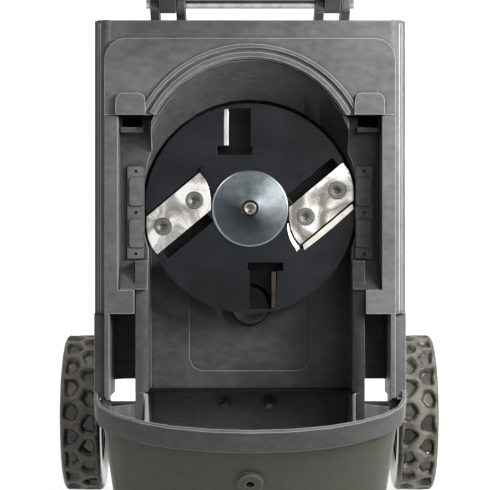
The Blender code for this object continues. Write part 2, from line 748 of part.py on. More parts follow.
def build_motor():
    back = PAN_FLOOR - WALL
    flange_front = back - SEAT_GAP
    flange_back = flange_front - MOTOR_FLANGE_THICKNESS
    stator_back = flange_back - MOTOR_LENGTH
    bell_back = stator_back - END_BELL_LENGTH
    shaft_end = bell_back - FAN_LENGTH
    bore_end = -HUB_SCREW_LENGTH - LAP
    shaft = turned(
        [
            (0, bore_end),
            (SHAFT_NOSE_RADIUS, bore_end),
            (SHAFT_NOSE_RADIUS, -SEAT_GAP),
            (SHAFT_RADIUS, -SEAT_GAP),
            (SHAFT_RADIUS, -DISC_THICKNESS - SEAT_GAP),
            (SHAFT_SHOULDER, -DISC_THICKNESS - SEAT_GAP),
            (SHAFT_SHOULDER, PAN_FLOOR + LAP),
            (SHAFT_RADIUS, PAN_FLOOR + LAP),
            (SHAFT_RADIUS, flange_back - MOTOR_LENGTH * 0.08),
            (ARMATURE_RADIUS, flange_back - MOTOR_LENGTH * 0.12),
            (ARMATURE_RADIUS, stator_back + MOTOR_LENGTH * 0.18),
            (COMMUTATOR_RADIUS, stator_back + MOTOR_LENGTH * 0.12),
            (COMMUTATOR_RADIUS, stator_back + MOTOR_LENGTH * 0.03),
            (SHAFT_RADIUS, stator_back + MOTOR_LENGTH * 0.02),
            (SHAFT_RADIUS, shaft_end),
            (0, shaft_end),
        ],
        TINY_ROUND,
    )
    place(smooth(shaft), "motor_shaft_and_armature", BRIGHT_STEEL, ROTOR_FRAME)
    flange = turned(
        [
            (BEARING_RADIUS + SEAT_GAP, flange_front),
            (MOTOR_FLANGE_RADIUS, flange_front),
            (MOTOR_FLANGE_RADIUS, flange_back),
            (BEARING_RADIUS + SEAT_GAP, flange_back),
        ],
        MEDIUM_ROUND,
    )
    place(smooth(flange), "motor_flange", CAST_METAL, DISC_FRAME)
    for name, top, bottom in (
        ("front_bearing", flange_front, flange_back),
        ("rear_bearing", stator_back - SEAT_GAP, bell_back),
    ):
        ring = turned(
            [
                (SHAFT_RADIUS + SEAT_GAP, top - BEARING_SINK),
                (BEARING_RADIUS, top - BEARING_SINK),
                (BEARING_RADIUS, bottom + BEARING_SINK),
                (SHAFT_RADIUS + SEAT_GAP, bottom + BEARING_SINK),
            ],
            TINY_ROUND,
        )
        place(smooth(ring), name, BRIGHT_STEEL, DISC_FRAME)
    stator = turned(
        [
            (STATOR_BORE, flange_back - SEAT_GAP),
            (MOTOR_RADIUS, flange_back - SEAT_GAP),
            (MOTOR_RADIUS, stator_back + SEAT_GAP),
            (STATOR_BORE, stator_back + SEAT_GAP),
        ],
        MEDIUM_ROUND,
    )
    place(smooth(stator), "motor_stator", COPPER, DISC_FRAME)
    bell = turned(
        [
            (BEARING_RADIUS + SEAT_GAP, stator_back),
            (MOTOR_RADIUS, stator_back),
            (MOTOR_RADIUS, bell_back),
            (BEARING_RADIUS + SEAT_GAP, bell_back),
        ],
        MEDIUM_ROUND,
    )
    place(smooth(bell), "motor_end_bell", CAST_METAL, DISC_FRAME)
    hub_top = bell_back - PLATE
    hub = turned(
        [
            (SHAFT_RADIUS + SEAT_GAP, hub_top),
            (FAN_HUB_RADIUS, hub_top),
            (FAN_HUB_RADIUS, shaft_end - LAP),
            (SHAFT_RADIUS + SEAT_GAP, shaft_end - LAP),
        ],
        SMALL_ROUND,
    )
    fan = place(smooth(hub), "cooling_fan", GREY_PLASTIC, ROTOR_FRAME)
    for i in range(FAN_BLADES):
        blade = box(FAN_HUB_RADIUS * 0.9, FAN_RADIUS, -LAP, LAP, shaft_end, hub_top - LAP)
        add_to(fan, blade, f"add_fan_blade_{i}", ROTOR_FRAME, (0, 0, 0), (0, 0, i * math.tau / FAN_BLADES))


def cover_outline(inset=0.0):
    """The motor cover seen along its axis: a half round top over a square bottom with rounded corners."""
    r = COVER_HALF_X - inset
    low = -COVER_V + inset
    corner = COVER_CORNER - inset
    points = arc(0, 0, r, r, 0, 180, 17)
    points += arc(-r + corner, low + corner, corner, corner, 180, 270, 5)
    points += arc(r - corner, low + corner, corner, corner, 270, 360, 5)
    return points


def build_motor_cover():
    front = PAN_FLOOR - WALL - SEAT_GAP
    shell = outline_plate([cover_outline()], front - COVER_BACK)
    shell.data.transform(shift(z=COVER_BACK))
    cover = place(shell, "motor_cover", BLACK_PLASTIC, DISC_FRAME)
    hollow = outline_plate([cover_outline(COVER_WALL)], front - COVER_BACK)
    hollow.data.transform(shift(z=COVER_BACK + COVER_WALL))
    cut_from(cover, hollow, "cut_cover_hollow", DISC_FRAME)
    half, depth = VENT_HALF_WIDTH, 3 * COVER_WALL
    for i in range(VENTS):
        low = (i - (VENTS - 1) / 2) * VENT_PITCH - VENT_HEIGHT / 2
        vent = box(-half, half, low, low + VENT_HEIGHT, -depth, depth)
        cut_from(cover, vent, f"cut_cover_vent_{i}", DISC_FRAME, (0, 0, COVER_BACK))
    smooth(cover)


def oblique_throat(bottom_radius, top_radius, low, high, segments=ROUND):
    """A round throat that stays upright: its circles climb the slope as they leave the disc."""
    cone = bmesh.new()
    bmesh.ops.create_cone(
        cone,
        cap_ends=True,
        segments=segments,
        radius1=bottom_radius,
        radius2=top_radius,
        depth=high - low,
        matrix=shift(z=(low + high) / 2),
    )
    for corner in cone.verts:
        corner.co.y += ARCH_SHIFT * corner.co.z / FLANGE_TOP
    return from_bmesh(cone)


def build_chamber():
    """The chamber moulding: outer forms joined first, then forms a wall smaller cut out of them."""
    pan_radius = DISC_RADIUS + CHAMBER_CLEARANCE
    under = POCKET_FLOOR - WALL
    top = FLANGE_TOP - PLATE - SEAT_GAP
    pan = rod(pan_radius + WALL, PAN_FLOOR - WALL, POCKET_FLOOR, ROUND)
    chamber = place(pan, "cutting_chamber", BLACK_PLASTIC, DISC_FRAME)
    growth = oblique_throat(pan_radius + WALL, ARCH_RADIUS + WALL, 0, top)
    add_to(chamber, growth, "add_throat", DISC_FRAME)
    trough = box(-TROUGH_HALF - WALL, TROUGH_HALF + WALL, TROUGH_END_V, 0, PAN_FLOOR - WALL, RIDGE_TOP)
    add_to(chamber, trough, "add_trough", DISC_FRAME)
    deck_half = FLANGE_INNER - SEAT_GAP
    deck = box(-deck_half, deck_half, SHELF_TOP_V + SEAT_GAP, PANEL_BOTTOM_V, under, POCKET_FLOOR)
    add_to(chamber, deck, "add_deck", DISC_FRAME)
    beside_shaft = TROUGH_HALF + WALL + SEAT_GAP
    for side, sign in SIDES:
        x0, x1 = sorted((sign * (TROUGH_HALF + LAP), sign * RIDGE_OUTER))
        ridge = box(x0, x1, TROUGH_END_V, RIDGE_START_V, PAN_FLOOR - WALL, RIDGE_TOP)
        add_to(chamber, ridge, f"add_ridge_{side}", DISC_FRAME)
        # The ridges run on past the trough, beside the shaft, down to the front rim
        x0, x1 = sorted((sign * beside_shaft, sign * (RIDGE_OUTER - HAIR)))
        horn = box(x0, x1, RIDGE_END_V, TROUGH_END_V + LAP, PAN_FLOOR, RIDGE_TOP - HAIR)
        add_to(chamber, horn, f"add_horn_{side}", DISC_FRAME)
    # The ramps at the foot of the side recesses rise to the flange's shelf
    ramp_end = SHELF_TOP_V + SEAT_GAP
    ramp_top = FLANGE_TOP - PLATE
    ramp_outline = [
        (POCKET_LOW_V, POCKET_FLOOR - LAP),
        (ramp_end, ramp_top),
        (ramp_end, POCKET_FLOOR - LAP),
    ]
    for side, sign in SIDES:
        ramp = across(ramp_outline, sign * (TROUGH_HALF - LAP), sign * deck_half)
        add_to(chamber, ramp, f"add_ramp_{side}", DISC_FRAME)
    inside = rod(pan_radius, PAN_FLOOR, POCKET_FLOOR + LAP, ROUND)
    cut_from(chamber, inside, "cut_pan", DISC_FRAME)
    throat = oblique_throat(pan_radius, ARCH_RADIUS, -LAP / 2, FLANGE_TOP)
    cut_from(chamber, throat, "cut_throat", DISC_FRAME)
    hollow = box(-TROUGH_HALF, TROUGH_HALF, RIDGE_END_V - LAP, 0, PAN_FLOOR, FLANGE_TOP)
    cut_from(chamber, hollow, "cut_trough", DISC_FRAME)
    # Above the deck the throat's lower half is open to the side recesses
    for side, sign in SIDES:
        x0, x1 = sorted((sign * POCKET_INNER, sign * BODY_HALF_WIDTH))
        recess = box(x0, x1, POCKET_LOW_V, PANEL_BOTTOM_V, POCKET_FLOOR, FLANGE_TOP + LAP)
        cut_from(chamber, recess, f"cut_recess_{side}", DISC_FRAME)
        x0, x1 = sorted((sign * (TROUGH_HALF + WALL), sign * (RIDGE_OUTER - WALL)))
        core = box(x0, x1, RIDGE_END_V - LAP, SHELF_BOTTOM_V, PAN_FLOOR - 2 * WALL, RIDGE_TOP - WALL)
        cut_from(chamber, core, f"cut_ridge_core_{side}", DISC_FRAME)
        middle = sign * TAB_CENTRE_X
        x0, x1 = middle - PEG_HOLE_HALF_WIDTH, middle + PEG_HOLE_HALF_WIDTH
        hole = box(x0, x1, PEG_HOLE_LOW_V, PEG_HOLE_TOP_V, under - LAP, POCKET_FLOOR + LAP)
        cut_from(chamber, hole, f"cut_peg_hole_{side}", DISC_FRAME)
        ledge = box(x0 - LAP, x1 + LAP, PEG_LEDGE_LOW_V, PEG_HOLE_LOW_V, POCKET_FLOOR - LAP, PEG_LEDGE_TOP)
        add_to(chamber, ledge, f"add_peg_ledge_{side}", DISC_FRAME)
    shaft_hole = rod(SHAFT_SHOULDER + HUB_FLOOR, PAN_FLOOR - 2 * WALL, PAN_FLOOR + WALL, SMALL_ROUND)
    cut_from(chamber, shaft_hole, "cut_shaft_hole", DISC_FRAME)
    panel_edge = rounded_rectangle(
        TROUGH_PANEL_HALF_WIDTH,
        TROUGH_PANEL_HALF_LENGTH,
        TROUGH_PANEL_CORNER,
        0,
        TROUGH_PANEL_MIDDLE_V,
    )
    panel = outline_plate([panel_edge], 2 * TROUGH_PANEL_DEPTH)
    panel.data.transform(shift(z=PAN_FLOOR - TROUGH_PANEL_DEPTH))
    cut_from(chamber, panel, "cut_trough_recess", DISC_FRAME)
    low, high = PAN_FLOOR - 2 * TROUGH_PANEL_DEPTH, PAN_FLOOR + BOSS_HEIGHT
    boss = rod(BOSS_RADIUS, low, high, SMALL_ROUND, BOSS_TOP_RADIUS, 0, BOSS_MIDDLE_V)
    add_to(chamber, boss, "add_crescent_boss", DISC_FRAME)
    smooth(chamber)


def run_along_slope(outline, low, high):
    """A section in (x, w) run along the slope from low to high."""
    bar = outline_plate([outline], high - low)
    bar.data.transform(shift(y=high) @ SPIN_TO_FRONT)
    return bar


def mirrored_section(half):
    """A closed section from its right half, which starts and ends on the middle line."""
    return half + [(-x, w) for x, w in reversed(half) if x > 0]


def build_upper_body():
    wall = BODY_HALF_WIDTH - BODY_WALL
    riser = FLANGE_OUTER - PLATE
    under = FLANGE_TOP - PLATE
    step_under = STEP_TOP - PLATE
    inner_wall = FLANGE_INNER + PLATE
    pocket_wall = LOWER_FLANGE_INNER + PLATE
    panel_seat = riser - PLATE / 2
    back_start = [(0, BODY_BACK), (BODY_HALF_WIDTH, BODY_BACK), (BODY_HALF_WIDTH, STEP_TOP)]
    back_end = [(wall, step_under), (wall, BODY_BACK + PLATE), (0, BODY_BACK + PLATE)]
    flange_edge = [(FLANGE_OUTER, STEP_TOP), (FLANGE_OUTER, FLANGE_TOP)]
    beside_recess = [
        (FLANGE_INNER, FLANGE_TOP),
        (FLANGE_INNER, POCKET_FLOOR - WALL),
        (inner_wall, POCKET_FLOOR - WALL),
        (inner_wall, under),
        (riser, under),
        (riser, step_under),
    ]
    beside_panel = [(panel_seat, STEP_TOP), (panel_seat, step_under)]
    shelf = [(SHELF_INNER, FLANGE_TOP), (SHELF_INNER, under), (riser, under), (riser, step_under)]
    recess_run = mirrored_section(back_start + flange_edge + beside_recess + back_end)
    body = place(
        run_along_slope(recess_run, SHELF_TOP_V - LAP, PANEL_BOTTOM_V),
        "upper_body",
        BLACK_PLASTIC,
        DISC_FRAME,
    )
    panel_run = mirrored_section(back_start + beside_panel + back_end)
    add_to(body, run_along_slope(panel_run, PANEL_BOTTOM_V - LAP, BODY_TOP_V), "add_panel_run", DISC_FRAME)
    shelf_run = mirrored_section(back_start + flange_edge + shelf + back_end)
    add_to(body, run_along_slope(shelf_run, SHELF_BOTTOM_V, SHELF_TOP_V), "add_shelf_run", DISC_FRAME)
    # A hair inside the run above, so that no two faces lie in one plane
    pocket_half = [
        (wall + HAIR, BODY_BACK + HAIR),
        (BODY_HALF_WIDTH - HAIR, BODY_BACK + HAIR),
        (BODY_HALF_WIDTH - HAIR, STEP_TOP - HAIR),
        (FLANGE_OUTER - HAIR, STEP_TOP - HAIR),
        (FLANGE_OUTER - HAIR, FLANGE_TOP - HAIR),
        (LOWER_FLANGE_INNER, FLANGE_TOP - HAIR),
        (LOWER_FLANGE_INNER, BACK_PLATE_W),
        (pocket_wall, BACK_PLATE_W),
        (pocket_wall, step_under + HAIR),
        (wall + HAIR, step_under + HAIR),
    ]
    inset = 4 * HAIR
    for side, sign in SIDES:
        pocket_run = [(sign * x, w) for x, w in pocket_half]
        run = run_along_slope(pocket_run, BODY_BOTTOM_V, SHELF_BOTTOM_V + LAP)
        add_to(body, run, f"add_pocket_{side}", DISC_FRAME)
        # The pocket's head and back as one bent plate
        bent = [
            (SHELF_BOTTOM_V + inset, under + LAP),
            (SHELF_BOTTOM_V + inset, BACK_PLATE_W + PLATE),
            (BACK_PLATE_V, BACK_PLATE_W + PLATE),
            (BACK_PLATE_V, BACK_PLATE_W + inset),
            (SHELF_BOTTOM_V + PLATE, BACK_PLATE_W + inset),
            (SHELF_BOTTOM_V + PLATE, under + LAP),
        ]
        plate = across(bent, sign * (SHELF_INNER + inset), sign * (pocket_wall - PLATE / 2 + HAIR))
        add_to(body, plate, f"add_pocket_back_{side}", DISC_FRAME)
    top_low = BODY_TOP_V - BODY_WALL
    top_wall = box(-wall - LAP, wall + LAP, top_low, BODY_TOP_V - inset, BODY_BACK + LAP, STEP_TOP - inset)
    add_to(body, top_wall, "add_top_wall", DISC_FRAME)
    top_step = box(-wall, wall, TOP_STEP_V, BODY_TOP_V - LAP, step_under + inset, STEP_TOP - inset / 2)
    add_to(body, top_step, "add_top_step", DISC_FRAME)
    opening = outline_plate([cover_outline(-SEAT_GAP)], 4 * PLATE)
    opening.data.transform(shift(z=BODY_BACK - 2 * PLATE))
    cut_from(body, opening, "cut_cover_opening", DISC_FRAME)
    # The front rim stands level in the world, bowed forward between the two side walls
    rim_y, rim_top = world_point(BODY_BOTTOM_V, FLANGE_TOP)
    back_y = rim_y + RIM_RETURN
    rim = rim_band(BODY_HALF_WIDTH - inset / 2, RIM_BOW, LOWER_WALL, rim_y, back_y, RIM_HEIGHT)
    add_to(body, rim, "add_front_rim", None, (0, 0, rim_top - RIM_HEIGHT))
    lip_width = BODY_HALF_WIDTH - LOWER_HALF_TOP + LOWER_WALL + 2 * LAP
    lip_inset = 4 * inset
    lip = rim_band(BODY_HALF_WIDTH - lip_inset, RIM_BOW - lip_inset, lip_width, rim_y, back_y - LAP, PLATE)
    add_to(body, lip, "add_rim_lip", None, (0, 0, rim_top - RIM_HEIGHT + SEAT_GAP))
    foot_v = BODY_TOP_V - 2 * LAP
    lug_outline = [(foot_v, HINGE_W - 6 * EYE_RADIUS), (HINGE_V + EYE_RADIUS, HINGE_W)]
    lug_outline += arc(HINGE_V, HINGE_W, EYE_RADIUS, EYE_RADIUS, 15, 180, 7) + [(foot_v, STEP_TOP - 2 * LAP)]
    for side, sign in SIDES:
        for number, x in enumerate((LUG_X - LUG_STEP, LUG_X + LUG_STEP)):
            lug = across(lug_outline, sign * (x - LUG_THICKNESS / 2), sign * (x + LUG_THICKNESS / 2))
            add_to(body, lug, f"add_lug_{side}_{number}", DISC_FRAME)
    bore = rod(HINGE_PIN_RADIUS + SEAT_GAP, -BODY_HALF_WIDTH, BODY_HALF_WIDTH, TINY_ROUND)
    bore.data.transform(SPIN_TO_X)
    cut_from(body, bore, "cut_hinge_bore", DISC_FRAME, (0, HINGE_V, HINGE_W))
    smooth(body)


def rim_band(half, bow, width, front_y, back_y, height):
    """A level band bowed forward between two straight ends."""
    outer = arc(0, front_y, half, bow, 180, 360, BOW_POINTS)
    inner = arc(0, front_y, half - width, bow - width, 360, 180, BOW_POINTS)
    points = [(-half, back_y)] + outer + [(half, back_y), (half - width, back_y)] + inner
    points.append((-half + width, back_y))
    return outline_plate([points], height)


def build_hinge_pin():
    reach = LUG_X + LUG_STEP + LUG_THICKNESS / 2 + PIN_END
    pin = rod(HINGE_PIN_RADIUS, -reach, reach, TINY_ROUND)
    pin.data.transform(SPIN_TO_X)
    place(smooth(pin), "hinge_pin", BRIGHT_STEEL, DISC_FRAME, (0, HINGE_V, HINGE_W))


def arched_outline(half, low, high, corner):
    """Straight at the bottom, with its two upper corners rounded."""
    outline = [(half, low)] + arc(half - corner, high - corner, corner, corner, 0, 90, 5)
    return outline + arc(-half + corner, high - corner, corner, corner, 90, 180, 5) + [(-half, low)]


def build_top_panel():
    half = FLANGE_OUTER - SEAT_GAP
    low, high = PANEL_BOTTOM_V + SEAT_GAP, PANEL_TOP_V
    plate = outline_plate([arched_outline(half, low, high, PANEL_CORNER)], FLANGE_TOP - STEP_TOP - SEAT_GAP)
    plate.data.transform(shift(z=STEP_TOP + SEAT_GAP))
    panel = place(plate, "top_panel", GREY_PLASTIC, DISC_FRAME)
    inner = arched_outline(half - PLATE, low - PLATE, high - PLATE, PANEL_CORNER - PLATE)
    hollow = outline_plate([inner], FLANGE_TOP - STEP_TOP)
    hollow.data.transform(shift(z=STEP_TOP - PLATE))
    cut_from(panel, hollow, "cut_panel_hollow", DISC_FRAME)
    first = ARCH_RADIUS + RIDGE_STEP
    rings = (
        ("inner_ridge", first, INNER_RIDGE_WIDTH),
        ("outer_ridge", first + INNER_RIDGE_WIDTH + GROOVE_WIDTH, RIDGE_WIDTH),
    )
    for name, radius, width in rings:
        start = math.degrees(math.asin((low - ARCH_SHIFT) / radius))
        outer = arc(0, ARCH_SHIFT, radius + width, radius + width, start, 180 - start, RIDGE_POINTS)
        back = arc(0, ARCH_SHIFT, radius, radius, 180 - start, start, RIDGE_POINTS)
        ridge = outline_plate([outer + back], RIDGE_HEIGHT + LAP)
        ridge.data.transform(shift(z=FLANGE_TOP - LAP))
        add_to(panel, ridge, f"add_{name}", DISC_FRAME)
    for side, sign in SIDES:
        edge = arched_outline(TAB_HALF_LENGTH, low + HAIR, TAB_TOP_V, TAB_CORNER)
        tab = outline_plate([edge], TAB_HEIGHT + LAP)
        tab.data.transform(shift(sign * TAB_CENTRE_X, 0, FLANGE_TOP - LAP))
        add_to(panel, tab, f"add_tab_{side}", DISC_FRAME)
    opening = rod(ARCH_RADIUS, 0, 2 * FLANGE_TOP, ROUND, None, 0, ARCH_SHIFT)
    cut_from(panel, opening, "cut_arch", DISC_FRAME)
    smooth(panel)


def build_side_plates():
    half, middle = WEAR_PLATE_HALF_WIDTH, WEAR_PLATE_MIDDLE_V
    seat = POCKET_FLOOR + SEAT_GAP
    for side, sign in SIDES:
        centre = sign * (FLANGE_INNER - WEAR_PLATE_TO_FLANGE)
        edge = rounded_rectangle(half, WEAR_PLATE_HALF_LENGTH, LAP, centre, middle, 2)
        base = outline_plate([edge], WEAR_PLATE_THICKNESS)
        base.data.transform(shift(z=seat))
        plate = place(base, f"wear_plate_{side}", GREY_PLASTIC, DISC_FRAME)
        for number, share in enumerate((0.5, -0.5)):
            v = middle + share * WEAR_PAD_SPACING
            edge = rounded_rectangle(half * 0.88, WEAR_PAD_HALF_LENGTH, PLATE, centre - sign * half * 0.1, v)
            pad = outline_plate([edge], WEAR_PLATE_THICKNESS)
            pad.data.transform(shift(z=seat + WEAR_PLATE_THICKNESS / 2))
            add_to(plate, pad, f"add_pad_{side}_{number}", DISC_FRAME)
        for number, share in enumerate((1, 0, -1)):
            v = middle + share * WEAR_HOLE_SPACING
            hole = rod(WEAR_HOLE_RADIUS, POCKET_FLOOR - PLATE, POCKET_FLOOR + 3 * PLATE, 8, None, centre, v)
            cut_from(plate, hole, f"cut_pin_hole_{side}_{number}", DISC_FRAME)


def build_lower_body():
    rim_y, rim_top = world_point(BODY_BOTTOM_V, FLANGE_TOP)
    top = rim_top - RIM_HEIGHT - SEAT_GAP
    height = top - FOOT_HEIGHT
    lug = AXLE_LUG
    rear = WHEEL_Y + lug
    band = rim_band(LOWER_HALF_TOP, LOWER_BOW, LOWER_WALL, rim_y, rear, height)
    slim = LOWER_HALF_BOTTOM / LOWER_HALF_TOP
    for corner in band.data.vertices:
        corner.co.x *= slim + (1 - slim) * corner.co.z / height
    body = place(band, "lower_body", GREY_PLASTIC, None, (0, 0, FOOT_HEIGHT))
    # The skirts fall away towards the wheels, under the clear way through the side pockets
    shoulder_y = rim_y + RIM_RETURN * 0.7
    behind = rear + lug
    above, below = top + lug, FOOT_HEIGHT - lug
    skirt_top = [
        (shoulder_y, above),
        (shoulder_y, top - LAP),
        (WHEEL_Y - lug * 0.4, WHEEL_RADIUS + lug),
        (WHEEL_Y + lug * 0.6, WHEEL_RADIUS + lug * 0.7),
        (rear, WHEEL_RADIUS),
        (behind, WHEEL_RADIUS),
        (behind, above),
    ]
    belly = [
        (WHEEL_Y - lug * 3.4, below),
        (WHEEL_Y - lug * 2.5, FOOT_HEIGHT + lug * 0.8),
        (WHEEL_Y - lug * 0.5, WHEEL_RADIUS - lug),
        (WHEEL_Y + lug * 0.5, WHEEL_RADIUS - lug),
        (rear, WHEEL_RADIUS - lug * 0.4),
        (behind, WHEEL_RADIUS - lug * 0.4),
        (behind, below),
    ]
    for name, outline in (("cut_skirt_top", skirt_top), ("cut_belly", belly)):
        cut_from(body, across(outline, -BODY_HALF_WIDTH, BODY_HALF_WIDTH), name)
    # The arch in the apron lets the chips be raked out
    half, spring = APRON_ARCH_HALF, APRON_ARCH_SPRING
    arch_outline = [(half, 0)] + arc(0, spring, half, APRON_ARCH_RISE, 0, 180, 13) + [(-half, 0)]
    arch_cut = outline_plate([arch_outline], 3 * LOWER_BOW)
    arch_cut.data.transform(shift(y=rim_y + LOWER_BOW) @ SPIN_TO_FRONT)
    cut_from(body, arch_cut, "cut_front_arch")
    for side, sign in SIDES:
        boss = rod(AXLE_BOSS_RADIUS, -AXLE_BOSS_HALF, AXLE_BOSS_HALF, SMALL_ROUND)
        boss.data.transform(SPIN_TO_X)
        x = sign * (axle_wall() - LOWER_WALL / 2)
        add_to(body, boss, f"add_axle_boss_{side}", None, (x, WHEEL_Y, WHEEL_RADIUS))
    axle_bore = rod(AXLE_RADIUS + SEAT_GAP, -BODY_HALF_WIDTH, BODY_HALF_WIDTH, SMALL_ROUND)
    axle_bore.data.transform(SPIN_TO_X)
    cut_from(body, axle_bore, "cut_axle_bore", None, (0, WHEEL_Y, WHEEL_RADIUS))
    lock_y, lock_z = lock_place()
    lock_boss = rod(LOCK_BOLT_RADIUS * 3, 0, LOCK_BOSS_LENGTH, SMALL_ROUND)
    lock_boss.data.transform(SPIN_TO_FRONT)
    add_to(body, lock_boss, "add_lock_boss", None, (0, lock_y + LOCK_BOSS_LENGTH, lock_z))
    reach = 2 * LOCK_BOSS_LENGTH
    lock_bore = rod(LOCK_BOLT_RADIUS + SEAT_GAP, -reach, reach, TINY_ROUND)
    lock_bore.data.transform(SPIN_TO_FRONT)
    cut_from(body, lock_bore, "cut_lock_bore", None, (0, lock_y, lock_z))
    smooth(body)
    for side, sign in SIDES:
        foot = rod(FOOT_RADIUS, 0, FOOT_HEIGHT - SEAT_GAP, SMALL_ROUND, FOOT_TOP_RADIUS)
        spread = LOWER_HALF_BOTTOM - LOWER_WALL / 2
        x = sign * LOWER_HALF_BOTTOM * FOOT_SHARE
        y = rim_y - (LOWER_BOW - LOWER_WALL / 2) * math.sqrt(1 - (x / spread) ** 2)
        place(smooth(foot), f"foot_{side}", RUBBER, None, (x, y, 0))


def axle_wall():
    """How far out the lower body's skirt is at the height of the axle."""
    rim_y, rim_top = world_point(BODY_BOTTOM_V, FLANGE_TOP)
    share = (WHEEL_RADIUS - FOOT_HEIGHT) / (rim_top - RIM_HEIGHT - FOOT_HEIGHT)
    return LOWER_HALF_BOTTOM + (LOWER_HALF_TOP - LOWER_HALF_BOTTOM) * share


def lock_place():
    """The (y, z) of the lock boss's front face, on the middle of the apron below the rim."""
    rim_y, rim_top = world_point(BODY_BOTTOM_V, FLANGE_TOP)
    return rim_y - LOWER_BOW - LOCK_BOSS_PROUD, rim_top - LOCK_DROP


def build_discharge_shaft():
    end_y, end_z = world_point(TROUGH_END_V, PAN_FLOOR - WALL)
    top_y, top_z = world_point(TROUGH_END_V, RIDGE_TOP)
    drop = 2 * SEAT_GAP
    half = TROUGH_HALF + WALL
    front_y = end_y - SHAFT_DEPTH
    outline = [
        (end_y, end_z - drop),
        (end_y, SHAFT_OUTLET_Z),
        (front_y, SHAFT_OUTLET_Z),
        (front_y, top_z - drop - SHAFT_SLANT),
        (top_y, top_z - drop),
    ]
    shaft = place(across(outline, -half, half), "discharge_shaft", BLACK_PLASTIC)
    hollow = box(-half + WALL, half - WALL, front_y - WALL, end_y - WALL, SHAFT_OUTLET_Z - WALL, top_z + WALL)
    cut_from(shaft, hollow, "cut_shaft_hollow")
    # A lip on the shaft's back wall laps behind the trough's floor and closes the seam
    under = PAN_FLOOR - WALL - SEAT_GAP
    low, high = TROUGH_END_V - SHAFT_LIP, TROUGH_END_V + SHAFT_LIP
    lip = box(-TROUGH_HALF, TROUGH_HALF, low, high, under - PLATE, under)
    add_to(shaft, lip, "add_shaft_lip", DISC_FRAME)
    radius, height = SHAFT_SCREW_RADIUS, SHAFT_SCREW_RADIUS * 0.4
    screw_profile = [(0, height), (radius * 0.9, height), (radius, height * 0.6), (radius, 0), (0, 0)]
    for number, share in enumerate((-0.5, 0.5)):
        x = SHAFT_SCREW_MIDDLE + share * SHAFT_SCREW_SPACING
        z = end_z - SHAFT_SCREW_DROP
        boss = rod(SHAFT_BOSS_RADIUS, -LAP, SHAFT_BOSS_HEIGHT - LAP, SMALL_ROUND)
        boss.data.transform(SPIN_TO_FRONT)
        add_to(shaft, boss, f"add_screw_boss_{number}", None, (x, end_y - WALL, z))
        screw = turned(screw_profile, SMALL_ROUND, SPIN_TO_FRONT)
        seat = end_y - WALL - SHAFT_BOSS_HEIGHT + LAP - SEAT_GAP
        place(smooth(screw), f"shaft_screw_{number + 1}", SCREW_STEEL, None, (x, seat, z))
    smooth(shaft)


def tread_cell(angle, x, length, width):
    """A six-sided recess in the tread, centred at x across it and at an angle round it."""
    half_l, half_w, slope = length / 2, width / 2, length * 0.24
    outline = [
        (-half_l, 0),
        (-half_l + slope, -half_w),
        (half_l - slope, -half_w),
        (half_l, 0),
        (half_l - slope, half_w),
        (-half_l + slope, half_w),
    ]
    cell = outline_plate([outline], 3 * TREAD_DEPTH)
    around = Matrix.Rotation(angle, 4, "X") @ Matrix.Rotation(math.radians(90), 4, "Z")
    cell.data.transform(shift(x) @ around @ shift(z=WHEEL_RADIUS - TREAD_DEPTH))
    return cell


